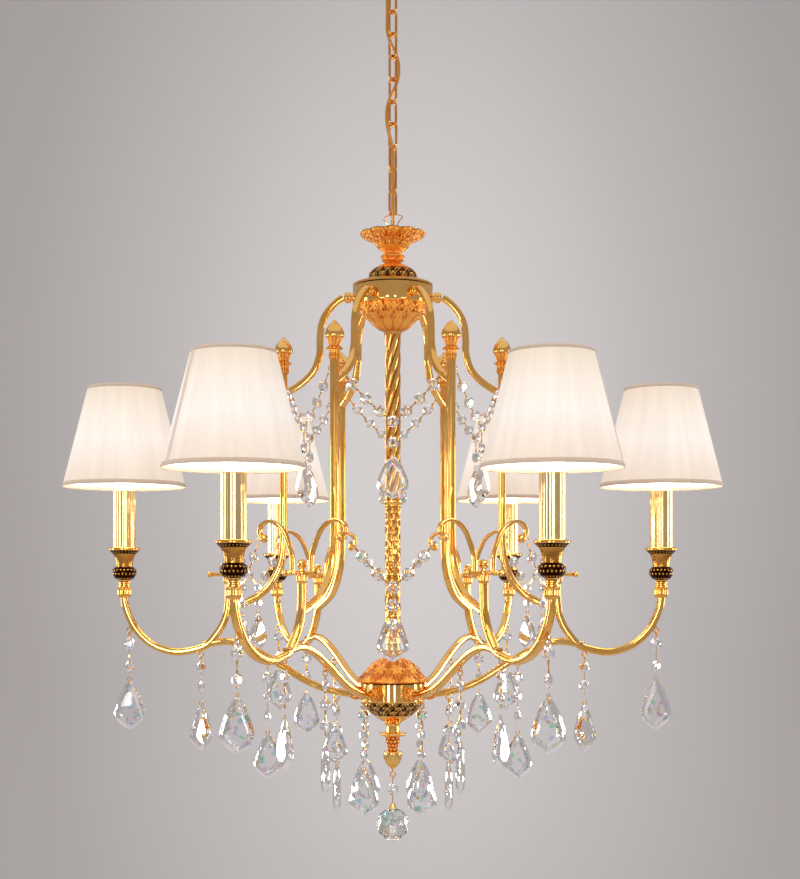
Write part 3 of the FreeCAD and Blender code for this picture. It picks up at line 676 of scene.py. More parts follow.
def crown():
    dish = fine([(10.2, 402.5), (11.4, 404.5), (16.2, 407.5), (19.8, 411)], 0.8)
    make("dish_foot", lathe(dish, 144, flutes(24), 0.6), SATIN_GOLD)
    bowl = smooth([(19.8, 411), (21.6, 414.5), (27.6, 418), (35.5, 422), (40, 426.8)], 40)
    inner = smooth([(39.4, 427.6), (32, 424.2), (24, 420.5), (18, 417), (12, 413.4), (7, 413)], 20)
    flower = lathe(bowl, 240, foliage(12, 2.0), 2.6)
    flower.join(lathe(inner, 192, leaves(12, 5, 0.6), 0.8))
    for point in flower.points:
        reach = math.hypot(point.x, point.y)
        angle = math.atan2(point.y, point.x)
        lift = max(0.0, (reach - 26) / 14) ** 2
        point.z += lift * 1.9 * (abs(math.cos(angle * 6)) - 0.9)
    make("dish_leaves", flower, CAST_GOLD, ["top_dish"])
    stem = lathe([(7, 412), (7, 420), (5.6, 421.5), (5.6, 430), (6.6, 431.5), (6.6, 434), (0.1, 434)], 40)
    make("dish_stem", stem, GOLD)

    knob = fine([(8.4, 391.7), (13.2, 393.6), (13.2, 394.6), (11.5, 396.5), (14.7, 398.0),
                 (14.7, 399.6), (11.5, 401), (10.2, 402.5)], 0.5)
    make("knob", lathe(knob, 120, lambda a, h, s: beads_round(18)(a, h, 0.5) if h > 397 else 1.0, 0.9),
         CAST_GOLD, ["crown_knob"])
    dome = smooth([(25, 382.7), (19, 386.7), (13, 389.4), (9, 391.7)], 20)
    make("dome_cap", lathe(dome, 96), SATIN_GOLD)
    band = fine([(48, 363), (48, 365.2)], 1.0)
    band += smooth([(46, 366.3), (39, 368.8), (32, 371.5), (29.6, 375), (28.2, 379.4), (25, 382.7)], 44)
    carving = foliage(14, 2.0, 1.0)
    carved = lathe(band, 216, lambda a, h, s: carving(a, h, (s - 0.45) / 0.55) if s > 0.45 else 1.0, 1.8)
    make("dome_band", carved, CAST_GOLD_PAINTED_SHADE, ["crown_dome"])
    hub = fine([(40, 363.2), (46.5, 363), (48, 361.6), (48, 341), (46.8, 339.2), (38, 339)], 4.0)
    make("hub_drum", lathe(hub, 120), GOLD, ["crown_hub"])

    cup = smooth([(10.5, 308.8), (18, 312.2), (25, 318), (28, 321.8)], 20)
    make("cup_foot", lathe(cup, 144, leaves(12, 5, 0.4), 0.9), CAST_GOLD)
    skirt = smooth([(27.4, 320.6), (31.5, 324), (37, 328.6), (39.6, 333.5), (40, 339)], 36)
    make("cup_leaves", lathe(skirt, 240, foliage(12, 2.0), 2.6), CAST_GOLD, ["crown_cup"])
    collar = lathe(fine([(9.4, 304.9), (10.5, 305.2), (10.5, 308.8), (9.4, 309.2)], 0.6), 96,
                   flutes(24), 0.4)
    make("cup_collar", collar, GOLD)


def column():
    twist = lathe(fine([(9.6, 107.2), (9.6, 304.9)], 1.4), 90, rope(6, 150.0), 2.4)
    make("rope_column", twist, COLUMN_GOLD, ["twisted_column"])
    woven = lathe(fine([(9.6, -78), (9.6, 98.5)], 1.2), 90, bark(7, 8.2), 1.3)
    make("bark_column", woven, COLUMN_GOLD, ["woven_column"])
    collar = lathe(fine([(9, 98.4), (10.8, 99.6), (10.8, 101), (9.9, 102.6), (10.8, 104.2), (10.8, 106),
                         (9, 107.3)], 0.5), 72)
    make("waist_collar", collar, GOLD, ["column_collar"])


def base():
    dome = smooth([(44, -111), (44, -109), (40, -103), (34, -97), (29, -91), (23, -86), (12, -81.5),
                   (9.4, -78)], 60)
    blossom, leaf = rosettes(9, 3), foliage(18, 4)
    dome_carve = lathe(dome, 252, lambda a, h, s: 0.6 * blossom(a, h, s) + 0.4 * leaf(a, h, s), 3.2)
    make("flower_dome", dome_carve, CAST_GOLD, ["base_dome"])
    drum = fine([(30, -111), (37.2, -111.2), (38.5, -112.6), (38.5, -132.4), (37, -134), (30, -134)], 4)
    make("base_drum", lathe(drum, 120), GOLD, ["base_hub"])
    bowl = smooth([(37, -134), (35.6, -138), (32, -142.5), (27, -147.6), (20, -153.4), (13, -158)], 50)
    carving = foliage(14, 3, 2.0)
    carved = lathe(bowl[::-1], 240, lambda a, h, s: carving(a, h, (s - 0.3) / 0.7) if s > 0.3 else 1.0,
                   1.8)
    make("leaf_bowl", carved, CAST_GOLD_PAINTED_SHADE, ["base_bowl"])
    block = lathe(fine([(4.6, 0), (7.4, 0.6), (8.6, 3.5), (8.4, 9), (6.8, 13), (5.2, 14)], 0.7), 60,
                  foliage(5, 3), 1.8)
    blocks = Shape().join(block, shift(37.6, 0, -124) @ spin(90, "Y"))
    make("leaf_blocks", blocks.round_axis(), CAST_GOLD)
    neck = fine([(12.6, -157.4), (12.6, -158.6), (9, -161), (8, -163), (8, -170.4), (9, -171.2)], 0.8)
    make("neck", lathe(neck, 72, flutes(14), 0.5), GOLD)
    disc = smooth([(9, -171), (14, -171.2), (16, -173.4), (14, -175.6), (9.5, -176)], 16)
    make("disc_ring", lathe(disc, 144, beads_round(30), 0.6), GOLD)
    taper = fine([(9.6, -176), (9.3, -179), (8.2, -184), (6.8, -189), (6.6, -194.2)], 0.6)
    make("beaded_taper", lathe(taper, 96, rosettes(10, 4), 0.9), CAST_GOLD)
    nut = smooth([(6.6, -193.6), (10.4, -194.2), (11.5, -196), (11.3, -200), (9.6, -206), (6.2, -211.4),
                  (2.4, -214.6), (0.9, -216)], 40)
    make("acorn_end", lathe(nut, 72), GOLD, ["base_acorn"])


# Arms, posts and scrolls

ARM_LINE = [
    (CANDLE_R, -9.5), (CANDLE_R - 0.3, -14), (320.6, -20), (318.2, -27), (314.2, -36.7),
    (307, -48.7), (295, -61.3), (279.4, -70.3), (259, -75), (237.4, -72.1), (223, -66.7),
    (213, -56), (205, -44), (199.5, -30), (INNER_BAR_R + 0.5, -15), (INNER_BAR_R, 0),
    (INNER_BAR_R, 6.4),
]
BRANCH_LINE = [
    (228, -66.5), (212, -63.5), (197.8, -62.5), (183.4, -65.5), (165.4, -72.7), (145, -84.1),
    (125.8, -96.1), (107.8, -107.5), (89.8, -115.9), (73, -121.3), (55, -124.5), (37, -126),
]
POST_LINE = [
    (POST_R, 258), (POST_R, 190), (POST_R, 120), (POST_R, 71), (131.6, 53.3), (133.6, 35.3),
    (139, 19.7), (147.4, 5.3), (159.4, -6.7), (171.4, -13.3), (181, -17.8), (196, -24),
]
SCROLL_LINE = [
    (60, 350), (66, 346), (73, 339.5), (80.2, 329.9), (85.6, 316.7), (87.4, 299.3),
    (87.6, 283.7), (92.2, 266.9), (100.6, 254.9), (112.6, 244.7), (128, 235.4),
]


def bars():
    lines = (("arm_bars", "arms", ARM_LINE, BAR, 96), ("branch_bars", "lower_branches", BRANCH_LINE,
             BRANCH_BAR, 60), ("post_bars", "posts", POST_LINE, BAR, 90),
             ("scroll_bars", "crown_scrolls", SCROLL_LINE, SCROLL_BAR, 70))
    for name, stands_for, line, side, count in lines:
        bar = sweep(smooth(line, count), square(side, side, 2.0))
        make(name, bar.round_axis(), GOLD, [stands_for])


def coupling():
    """Coupling knob where each crown scroll meets the drum."""
    turned = lathe(fine([(0.1, 47), (4.5, 47.2), (4.5, 50), (6.3, 50.6), (6.5, 52), (6.5, 56.6),
                         (5.6, 58.2), (0.1, 58.4)], 1.2), 40)
    knob = Shape().join(turned, shift(z=350) @ spin(90, "Y"))
    make("coupling_knobs", knob.round_axis(), GOLD, ["scroll_knobs"])


def post_tops():
    acorn = smooth([(9.2, 282.4), (10.8, 284), (10.8, 288), (8.9, 293), (5.8, 297.4), (2.6, 300.2),
                    (1.8, 302), (0.1, 303)], 36)
    cup = fine([(5, 258), (6.6, 260), (6.6, 262), (6.2, 264), (6.2, 266), (6.6, 269), (9.5, 269.6),
                (9.5, 271.4), (6, 274), (6.6, 275.5), (9, 282), (10, 283.4), (8, 283.8)], 0.7)
    make("post_acorns", six(lathe(acorn, 48), POST_R), GOLD, ["post_finials"])
    make("post_necks", six(lathe(cup, 72, flutes(12), 0.7), POST_R), CAST_GOLD)


def arm_tops():
    cup = lathe(fine([(4.6, 6), (5.2, 7.6), (6.5, 9), (6.7, 14.6), (6, 16), (4, 16.2)], 0.8), 60,
                flutes(10), 0.9)
    make("small_cups", six(cup, INNER_BAR_R), GOLD, ["arm_cups"])
    top = lathe([(4.6, 19.6), (3, 20.4), (2.4, 21.8), (3.4, 22.8)]
                + smooth([(4.4, 23.6), (5.5, 27), (4.6, 30.6), (2, 32.5), (0.1, 32.9)], 16), 32)
    make("small_finials", six(top, INNER_BAR_R), GOLD, ["arm_finials"])

    cross = Shape()
    turned = lathe(fine([(2.2, -19), (3.0, -18.4), (2.2, -17.8), (2.2, 17.8), (3.0, 18.4), (2.2, 19)],
                        1.0), 24)
    for turn in (0, 90):
        across = spin(turn) @ spin(90, "Y")
        cross.join(turned, shift(INNER_BAR_R, 0, 18) @ across)
        for end in (-1, 1):
            spot = spin(turn) @ Vector((22.6 * end, 0, 0))
            cross.join(ball(3.6, (INNER_BAR_R + spot.x, spot.y, 18 + spot.z)))
    cross.join(lathe([(0.1, 15.9), (6, 16), (6.4, 18), (6, 20), (0.1, 20.2)], 32), shift(INNER_BAR_R))
    make("cross_pieces", cross.round_axis(), GOLD, ["cross_bars"])

    line = smooth([(12, 19), (13, 37), (17.5, 50), (22.5, 61), (30, 69.6), (40, 74.5), (48.5, 73.6),
                   (54.8, 68.4), (55.6, 61.5), (52.6, 56.8)], 60)
    strap = sweep(line, square(4.4, 6.8, 1.1, 0.2))
    strap.join(ball(5.0, (50, 0, 56)))
    pair = Shape()
    for side in (90, -90):
        pair.join(strap, shift(INNER_BAR_R) @ spin(side))
    make("lyres", pair.round_axis(), GOLD, ["lyre_scrolls"])


def candles():
    foot = fine([(5.2, -10.3), (7.6, -8.6), (8.4, -6), (8.4, -0.5), (7.6, 1.5), (6.6, 2.2)], 0.8)
    pieces = Shape().join(lathe(foot, 80, flutes(10), 0.9), shift(CANDLE_R))
    necks = lathe(fine([(6.6, 2), (7.6, 3), (7.6, 4.4), (6.2, 5.4), (6.2, 6.4), (7.4, 7.4), (7.4, 8.8),
                        (6.6, 10), (7.4, 11.2)], 0.5), 48)
    pieces.join(necks, shift(CANDLE_R))
    make("candle_feet", pieces.round_axis(), GOLD)
    melon = smooth([(7.2, 11), (11.6, 13.6), (14.2, 17.4), (14.7, 21), (14.3, 24), (11.6, 26.6),
                    (9.6, 27.2)], 30)
    make("candle_melons", six(lathe(melon, 132, dots(20, 4), 0.6), CANDLE_R), CAST_GOLD_PAINTED_SHADE)
    bell = smooth([(9.8, 27), (10.0, 30), (10.6, 34), (12.0, 39.4), (14, 42.6)], 24)
    make("candle_bells", six(lathe(bell, 96), CANDLE_R), GOLD_PAINTED_DARK_REFLECTION)
    lip = smooth([(14, 42.4), (16, 44.4), (18.6, 46.6), (19.0, 48), (18.8, 49.6)], 18)
    lip += [(18.2, 50), (13.6, 48.6), (13.6, 47)]
    punched = dots(26, 1)
    rim = lathe(lip, 132, lambda a, h, s: punched(a, h, (h - 42.4) / 3.8) if h < 46.2 else 1.0, 0.7)
    make("candle_lips", six(rim, CANDLE_R), CAST_GOLD_PAINTED_SHADE, ["candle_cups"])

    outline = fine([(13.4, 47), (13.4, 118.4), (12.6, 119), (12.4, 118.6), (12.4, 100)], 8)
    make("reeded_sleeves", six(lathe(outline, 144, flutes(16), 0.6), CANDLE_R), SLEEVE_GOLD,
         ["candle_sleeves"])
    coat(HOLDER, "lamp_sockets")
    glass = smooth([(6.8, 112), (6.8, 118.5), (9, 121), (14.5, 131), (17.4, 143), (17.4, 152),
                    (14, 171), (9, 184), (5, 191), (1.6, 195.4), (0.1, 196)], 44)
    make("candle_bulbs", six(lathe(glass, 36), CANDLE_R), LAMP, ["bulbs"], FIXTURE)


SEAM_TURN = (60, 80, 100, 120, 211, 345)


def shades():
    slope = (SHADE_BOTTOM_R - SHADE_TOP_R) / (SHADE_TOP - SHADE_BOTTOM)

    def wall_r(height):
        return SHADE_BOTTOM_R - slope * (height - SHADE_BOTTOM)

    for index in range(ARMS):
        body = f"shade_{index + 1}_body"
        turn = spin(index * 360 / ARMS) @ shift(CANDLE_R)
        rows = [SHADE_BOTTOM + 1 + (SHADE_TOP - SHADE_BOTTOM - 2) * i / 24 for i in range(25)]
        cloth = lathe([(wall_r(z), z) for z in rows], 144,
                      lambda a, h, s: 1 - 0.5 * math.sin(a * 36) ** 2 * math.sin(math.pi * s), 0.25)
        outer = make(f"shade_cloth_{index + 1}", Shape().join(cloth, turn), CLOTH,
                     [f"shade_{index + 1}"], body)
        lining = lathe([(wall_r(z) - 0.8, z) for z in rows], 72)
        make(f"shade_lining_{index + 1}", Shape().join(lining, turn), LINING, (), body)
        trims = Shape()
        for low, high, proud in ((SHADE_BOTTOM, SHADE_BOTTOM + 5, 0.9),
                                 (SHADE_TOP - 3.6, SHADE_TOP, 0.7)):
            middle = (low + high) / 2
            r_low, r_mid, r_high = wall_r(low), wall_r(middle), wall_r(high)
            roll = smooth([(r_low - 0.9, low + 0.3), (r_low + 0.2, low), (r_mid + proud, middle),
                           (r_high + 0.2, high), (r_high - 0.9, high - 0.3),
                           (r_mid - 1.3, middle), (r_low - 0.9, low + 0.3)], 24)
            trims.join(lathe(roll, 144), turn)
        trim = make(f"shade_trim_{index + 1}", trims, TAPE, (), body)
        strip = Shape()
        heights = [SHADE_BOTTOM + 4 + (SHADE_TOP - SHADE_BOTTOM - 7) * i / 12 for i in range(13)]
        seam = math.radians(SEAM_TURN[index] - index * 360 / ARMS)
        for z in heights:
            for side in (-4, -2, 0, 2, 4):
                reach = wall_r(z) + 0.5 - 0.06 * abs(side)
                angle = seam + side / wall_r(z)
                strip.add([(reach * math.cos(angle), reach * math.sin(angle), z)], [], None, None,
                          [(side / 40, z / 60)])
        strip.faces = [[r * 5 + c, r * 5 + c + 1, r * 5 + c + 6, r * 5 + c + 5]
                       for r in range(12) for c in range(4)]
        seam_tape = make(f"shade_seam_{index + 1}", Shape().join(strip, turn), SEAM_TAPE, (), body)
        clip = ring(18.9, 1.0, "Z", 0, 40)
        wires = Shape().join(clip, shift(z=146))
        for spoke in range(3):
            angle = math.radians(90 + spoke * 120)
            line = [(r * math.cos(angle), r * math.sin(angle), z)
                    for r, z in smooth([(18.9, 146), (26, 172), (34, 205), (42.4, 239)], 16)]
            wires.join(tube(line, 0.9))
        make(f"shade_clip_{index + 1}", Shape().join(wires, turn), GOLD, (), body)


# Crystals

def shell(rings, phases):
    """Facets between closed rings of points; a change of phase by half a step makes triangles."""
    count = len(rings[0])
    points = [p for loop in rings for p in loop]
    faces = [tuple(range(count))[::-1], tuple(range(len(points) - count, len(points)))]
    for row in range(len(rings) - 1):
        low, high = row * count, (row + 1) * count
        for i in range(count):
            j = (i + 1) % count
            if phases[row] == phases[row + 1]:
                faces.append((low + i, low + j, high + j, high + i))
            elif phases[row + 1] > phases[row]:
                faces += [(low + i, low + j, high + i), (low + j, high + j, high + i)]
            else:
                faces += [(low + i, high + j, high + i), (low + i, low + j, high + j)]
    return Shape().add(points, faces)


def bead(radius=6.6, thick=7.0):
    """Octagon bead facing X, with a table, a ring of kite facets and a thin girdle."""
    levels = ((0.48, -0.5, 0), (0.84, -0.30, 0.5), (1.0, -0.07, 0), (1.0, 0.07, 0), (0.84, 0.30, 0.5),
              (0.48, 0.5, 0))
    corner = radius / math.cos(math.pi / 8)
    rings = []
    for scale, depth, phase in levels:
        rings.append([(depth * thick,
                       corner * scale * math.sin(2 * math.pi * (i + 0.5 + phase) / 8),
                       corner * scale * math.cos(2 * math.pi * (i + 0.5 + phase) / 8))
                      for i in range(8)])
    return shell(rings, [phase for scale, depth, phase in levels])


def pendant(length, width, thick=9.6):
    """Leaf-shaped drop, tip down, facing X, with its top at the origin: flat faces, cut rim."""
    half = [(0.0, 0.03), (0.06, 0.12), (0.22, 0.27), (0.40, 0.385), (0.56, 0.465), (0.68, 0.50),
            (0.78, 0.44), (0.88, 0.28), (0.95, 0.12), (1.0, 0.0)]
    edge = half + [(down, -side) for down, side in reversed(half[1:-1])]
    dense = smooth(edge + [half[0]], 440)
    reach = [0.0]
    for a, b in zip(dense, dense[1:]):
        reach.append(reach[-1] + math.dist(a, b))
    count = 22

    def outline(share):
        target = (share % 1.0) * reach[-1]
        index = min(range(len(reach)), key=lambda i: abs(reach[i] - target))
        down, side = dense[index]
        return side * width, -down * length

    middle = -0.6 * length
    levels = ((0.62, -0.5, 0), (0.80, -0.38, 0.5), (0.92, -0.22, 0), (1.0, -0.05, 0.5),
              (1.0, 0.05, 0.5), (0.92, 0.22, 0), (0.80, 0.38, 0.5), (0.62, 0.5, 0))
    rings = []
    for scale, depth, phase in levels:
        loop = []
        for i in range(count):
            y, z = outline((i + phase) / count)
            loop.append((depth * thick, y * scale, middle + (z - middle) * scale))
        rings.append(loop)
    return shell(rings, [phase for scale, depth, phase in levels])


def cut_ball(radius):
    """Ball with staggered bands of triangular facets."""
    bands = [(80, 0), (57, 0.5), (35, 0), (12, 0.5), (-12, 0), (-35, 0.5), (-57, 0), (-80, 0.5)]
    rings = []
    for latitude, phase in reversed(bands):
        r, z = radius * math.cos(math.radians(latitude)), radius * math.sin(math.radians(latitude))
        rings.append([(r * math.cos(2 * math.pi * (i + phase) / 12),
                       r * math.sin(2 * math.pi * (i + phase) / 12), z) for i in range(12)])
    return shell(rings, [phase for latitude, phase in reversed(bands)])


def bow(length):
    """Bow-tie pin along Z: two flared leaves with a narrow waist."""
    shape = Shape()
    half = length / 2
    outline = [(1.5, half), (1.1, half * 0.55), (0.45, 0), (1.1, -half * 0.55), (1.5, -half),
               (-1.5, -half), (-1.1, -half * 0.55), (-0.45, 0), (-1.1, half * 0.55), (-1.5, half)]
    front = [(0.35, y, z) for y, z in outline]
    back = [(-0.35, y, z) for y, z in outline]
    count = len(outline)
    faces = [tuple(range(count)), tuple(range(2 * count - 1, count - 1, -1))]
    faces += [(i, i + count, (i + 1) % count + count, (i + 1) % count) for i in range(count)]
    return shape.add(front + back, faces)


def hung(place, up, facing):
    """Matrix that puts a part with its top towards up and its face towards facing."""
    z = up.normalized()
    x = (facing - z * facing.dot(z)).normalized()
    y = z.cross(x)
    turn = Matrix((x, y, z)).transposed().to_4x4()
    return Matrix.Translation(place) @ turn


BEAD = bead()
OUTWARD = Vector((1, 0, 0))
UP = Vector((0, 0, 1))


def string(glass, wire, places, turns, last):
    """Beads at the places, with a bow pin in each gap, down to the last point."""
    for place, turn in zip(places, turns):
        glass.join(BEAD, hung(place, UP, turn))
    for a, b in zip(places, places[1:] + [last]):
        wire.join(bow(max((a - b).length - 12.6, 5.0)), hung((a + b) / 2, a - b, OUTWARD))


def drop(layout, turn):
    """Glass and wire of one hanging strand at angle 0, its crystals turned from facing +X."""
    radius, hook, beads, top, bottom = layout
    glass, wire = Shape(), Shape()
    crown = hook + 1.65 - 3.2
    wire.join(ring(3.2, 0.7, "X"), shift(radius, 0, crown))
    places = [Vector((radius, 0, z)) for z in beads]
    turns = [Vector((math.cos(turn + i), math.sin(turn + i), 0)) for i in range(len(beads))]
    leaf_top = Vector((radius, 0, top))
    string(glass, wire, places, turns, leaf_top + Vector((0, 0, 5)))
    start = Vector((radius, 0, crown - 3.2))
    wire.join(bow(max((start - places[0]).length - 6.6, 2.0)),
              hung((start + places[0] + Vector((0, 0, 6.4))) / 2, UP, OUTWARD))
    wire.join(ring(2.2, 0.5, "Y"), shift(radius, 0, top + 1.2))
    facing = Vector((math.cos(turn), math.sin(turn), 0))
    length = top - bottom
    glass.join(pendant(length, 0.62 * length), hung(leaf_top, UP, facing))
    return glass, wire


OUTER_DROP = (316.0, -52.0, (-65.5, -92.0), -108.7, -168.7)
ARM_DROP = (230.0, -80.5, (-93.0, -116.0), -137.5, -194.0)
INNER_DROP = (150.0, -91.5, (-106.0, -128.5, -152.0), -173.0, -228.0)
HUB_DROP = (67.0, -132.5, (-146.0, -169.0, -192.0), -209.0, -266.0)
OUTER_TURN = (88, 30, -30, 92, 22, -22)
ARM_TURN = (42, 35, -35, -42, -30, 30)
INNER_TURN = (90, 30, -30, 90, -60, 60)
HUB_TURN = (0, 25, -25, 0, 22, -22)


def hang(name, layout, turns, moving):
    """One ring of six strands: each on its own body, or all six fixed."""
    glass_ring, wire_ring = Shape(), Shape()
    for index in range(ARMS):
        glass, wire = drop(layout, math.radians(turns[index]))
        turn = spin(index * 360 / ARMS)
        if moving:
            body = f"{name}_{index + 1}_body"
            make(f"{name}_glass_{index + 1}", Shape().join(glass, turn), CRYSTAL,
                 [f"{name}_{index + 1}"], body, 1)
            make(f"{name}_pins_{index + 1}", Shape().join(wire, turn), GOLD, (), body)
        else:
            glass_ring.join(glass, turn)
            wire_ring.join(wire, turn)
    if not moving:
        make(f"{name}_glass", glass_ring, CRYSTAL, [name], FIXTURE, 1)
        make(f"{name}_pins", wire_ring, GOLD)


def swag(hook, centre, count, low, top, bottom, sag):
    """V of beads between two hooks with a pendant under it, for the angle midway between arms."""
    glass, wire = Shape(), Shape()
    middle = Vector((centre[0], 0, centre[1]))
    for side in (-1, 1):
        start = Vector((hook[0], side * hook[1], hook[2]))
        along = middle - start
        places = []
        for index in range(count):
            share = (index + 1) / (count + 1)
            dip = Vector((0, 0, -4 * sag * share * (1 - share)))
            places.append(start + along * share + dip)
        up = start - middle
        for place in places:
            glass.join(BEAD, hung(place, up, OUTWARD + Vector((0, 0.5 * side, 0))))
        stops = [start] + places + [middle]
        for a, b in zip(stops, stops[1:]):
            wire.join(bow(max((a - b).length - 12.6, 4.0)), hung((a + b) / 2, a - b, OUTWARD))
        wire.join(ring(2.4, 0.5, "Y"), Matrix.Translation(start))
    lower = Vector((middle.x, 0, low))
    leaf = Vector((middle.x, 0, top))
    string(glass, wire, [middle, lower], [OUTWARD, OUTWARD], leaf + Vector((0, 0, 5)))
    wire.join(ring(2.2, 0.5, "Y"), Matrix.Translation(leaf + Vector((0, 0, 1.2))))
    length = top - bottom
    glass.join(pendant(length, 0.74 * length), hung(leaf, UP, OUTWARD))
    return glass, wire


def swags():
    mid_x = math.cos(math.radians(30))
    mid_y = math.sin(math.radians(30))
    half = BAR / 2 + 1.1
    upper = ((POST_R * mid_x + half * mid_y, POST_R * mid_y - half * mid_x, 249), (119, 188), 3,
             164, 150, 100.5, 5)
    lower = ((INNER_BAR_R * mid_x + LYRE_TIP * mid_y, INNER_BAR_R * mid_y - LYRE_TIP * mid_x, 56),
             (197, 2), 2, -17, -30, -78, 3)
    for name, layout in (("upper_swags", upper), ("lower_swags", lower)):
        glass, wire = swag(*layout)
        make(f"{name}_glass", glass.round_axis(30), CRYSTAL, [name], FIXTURE, 1)
        make(f"{name}_pins", wire.round_axis(30), GOLD)


def eyelets():
    eyes = Shape()
    for radius, hook, *_ in (OUTER_DROP, ARM_DROP, INNER_DROP, HUB_DROP):
        eyes.join(ring(3.0, 0.7, "Y"), shift(radius, 0, hook + 3))
        eyes.join(tube([(radius, 0, hook + 6), (radius, 0, hook + 9)], 0.7))
    all_eyes = eyes.round_axis()
    all_eyes.join(ring(3.0, 0.7, "Y"), shift(z=BALL_HOOK + 3))
    all_eyes.join(tube([(0, 0, BALL_HOOK + 6), (0, 0, BALL_HOOK + 12)], 0.7))
    make("eyelets", all_eyes, GOLD, ["drop_eyelets"])


def ball_drop():
    glass, wire = Shape(), Shape()
    crown = BALL_HOOK + 1.65 - 3.2
    wire.join(ring(3.2, 0.7, "X"), shift(z=crown))
    glass.join(BEAD, hung(Vector((0, 0, BALL_BEAD)), UP, Vector((0.4, -1, 0))))
    wire.join(tube([(0, 0, crown - 3), (0, 0, BALL_BEAD + 6.2)], 0.6))
    wire.join(tube([(0, 0, BALL_BEAD - 6.4), (0, 0, BALL_BEAD - 18)], 0.6))
    wire.join(lathe([(2, -257), (3.4, -259.4), (5, -262.4), (3, -263)], 24))
    glass.join(cut_ball(19.6), shift(z=BALL_CENTRE))
    make("ball_glass", glass, CRYSTAL, ["ball_drop"], "ball_drop_body", 1)
    make("ball_pins", wire, GOLD, (), "ball_drop_body")


# Stage, lights and camera

def backdrop_paper(name):
    """Pale paper with a painted pool of light: emission brightest behind the chandelier, falling off away
    from it.
    """
    made, tree, shader = material(name)
    place = node(tree, "ShaderNodeTexCoord")
    squash = node(tree, "ShaderNodeVectorMath", operation="MULTIPLY")
    tree.links.new(place.outputs["Object"], squash.inputs[0])
    squash.inputs[1].default_value = (1.0, 1.0, 0.5)
    away = node(tree, "ShaderNodeVectorMath", operation="DISTANCE")
    tree.links.new(squash.outputs["Vector"], away.inputs[0])
    away.inputs[1].default_value = (0.1, 4.6, -0.075)
    share = node(tree, "ShaderNodeMath", operation="DIVIDE")
    tree.links.new(away.outputs["Value"], share.inputs[0])
    share.inputs[1].default_value = 4.0
    # Painted pool of light: emission brightest near a point behind the chandelier, dimmer further away.
    painted_glow = ramp(tree, share.outputs["Value"], [
        (0.0, (0.355, 0.342, 0.342)), (0.1, (0.34, 0.328, 0.328)), (0.2, (0.26, 0.25, 0.25)),
        (0.26, (0.20, 0.192, 0.192)), (0.42, (0.085, 0.078, 0.08)), (0.55, (0.05, 0.047, 0.047)),
        (1.0, (0.1, 0.095, 0.095))])
    colour_to(tree, painted_glow, shader, "Emission Color")
    uniform(shader, Emission_Strength=1.0, Base_Color=(0.45, 0.432, 0.432, 1.0), Roughness=0.95)
    return made


def stage():
    floor_z = -2.3
    rows = [(0.0, floor_z), (2.0, floor_z), (3.4, floor_z)]
    rows += [(3.4 + 1.2 * math.sin(math.radians(a)), floor_z + 1.2 - 1.2 * math.cos(math.radians(a)))
             for a in range(10, 91, 10)]
    rows += [(4.6, -0.4), (4.6, 0.4), (4.6, 1.0), (4.6, 1.8), (4.6, 2.8)]
    segments = 64
    points, faces = [], []
    for r, z in rows:
        for index in range(segments):
            angle = 2 * math.pi * index / segments
            points.append((r * math.cos(angle), r * math.sin(angle), z))
    for row in range(len(rows) - 1):
        for index in range(segments):
            after = (index + 1) % segments
            faces.append((row * segments + index, row * segments + after,
                          (row + 1) * segments + after, (row + 1) * segments + index))
    mesh = bpy.data.meshes.new("backdrop")
    mesh.from_pydata(points, [], faces)
    mesh.polygons.foreach_set("use_smooth", [True] * len(mesh.polygons))
    mesh.materials.append(backdrop_paper("backdrop_paper"))
    room = placed("backdrop", mesh)

    world = bpy.data.worlds.new("studio")
    world.use_nodes = True
    world.node_tree.nodes["Background"].inputs["Color"].default_value = (0.95, 0.92, 0.92, 1.0)
    world.node_tree.nodes["Background"].inputs["Strength"].default_value = 0.8
    bpy.context.scene.world = world


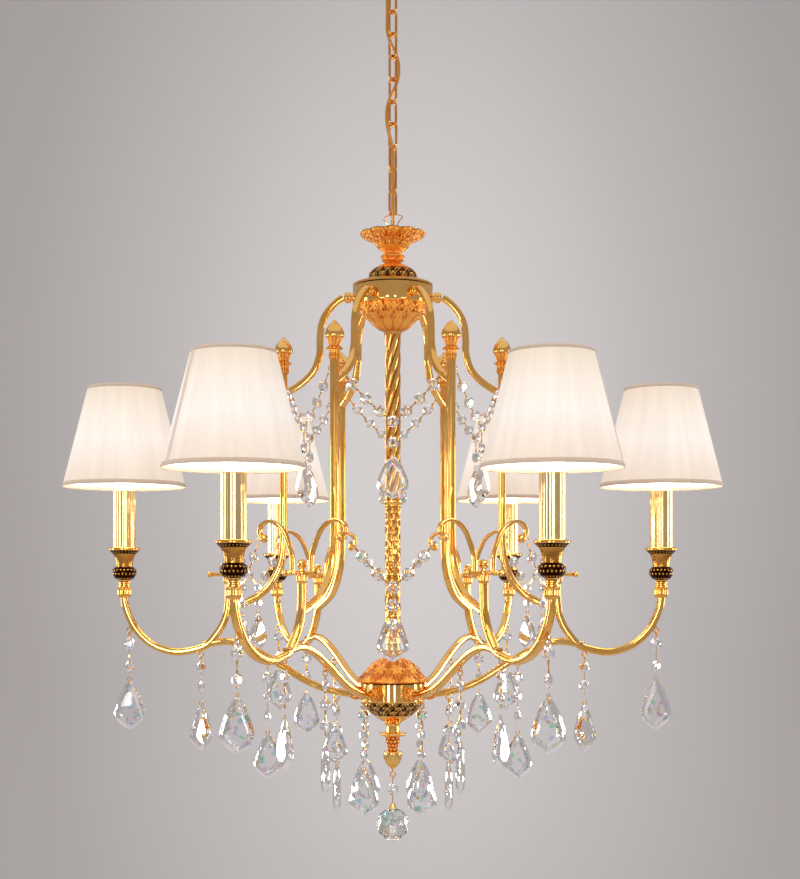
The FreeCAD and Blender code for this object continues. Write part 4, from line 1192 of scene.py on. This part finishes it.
def light(name, place, size, power, colour, glossy=True):
    lamp = bpy.data.lights.new(name, "AREA")
    lamp.shape = "RECTANGLE"
    lamp.size, lamp.size_y = size
    lamp.energy = power
    lamp.color = colour
    holder = bpy.data.objects.new(name, lamp)
    holder.location = place
    aim = Vector((0, 0, -0.7)) - Vector(place)
    holder.rotation_euler = aim.to_track_quat("-Z", "Y").to_euler()
    holder.visible_glossy = glossy
    bpy.context.scene.collection.objects.link(holder)


def lights():
    light("side_left", (-2.85, -0.3, -0.85), (0.4, 1.0), 13, (1.0, 0.97, 0.92))
    light("side_right", (2.85, -0.1, -0.85), (0.4, 1.0), 13, (1.0, 0.97, 0.92))
    light("back_left", (-2.5, 1.35, -0.85), (0.6, 0.9), 12, (1.0, 0.97, 0.94))
    light("back_right", (2.5, 1.35, -0.85), (0.6, 0.9), 14, (1.0, 0.97, 0.94))
    light("low_left", (-0.75, -2.8, -0.75), (0.28, 0.8), 7, (1.0, 0.98, 0.95))
    light("low_right", (0.32, -2.88, -0.75), (0.16, 0.8), 4, (1.0, 0.98, 0.95))
    light("top_soft", (0.0, 0.2, 2.2), (2.0, 2.0), 40, (1.0, 0.98, 0.96), False)
    light("front_fill", (0.0, -2.7, -0.2), (1.6, 1.6), 24, (1.0, 0.98, 0.96), False)


def camera():
    lens = bpy.data.cameras.new("view")
    lens.sensor_width = 36.0
    lens.lens = 36.0 * 1479 / 879
    lens.shift_x = 0.0082
    lens.shift_y = 0.1705
    lens.clip_end = 50.0
    holder = bpy.data.objects.new("view", lens)
    holder.location = (0.0, -1.775, DATUM)
    holder.rotation_euler = (math.radians(90), 0, 0)
    bpy.context.scene.collection.objects.link(holder)
    bpy.context.scene.camera = holder


def main():
    camera()
    cord()
    ceiling_fitting()
    chain()
    crown()
    column()
    base()
    bars()
    coupling()
    post_tops()
    arm_tops()
    candles()
    shades()
    eyelets()
    hang("outer_drop", OUTER_DROP, OUTER_TURN, True)
    hang("arm_drop", ARM_DROP, ARM_TURN, True)
    hang("inner_drops", INNER_DROP, INNER_TURN, False)
    hang("hub_drops", HUB_DROP, HUB_TURN, False)
    swags()
    ball_drop()
    coat(ZINC, "column_rod")
    stage()
    lights()
    bpy.context.scene.view_settings.view_transform = "Standard"


main()
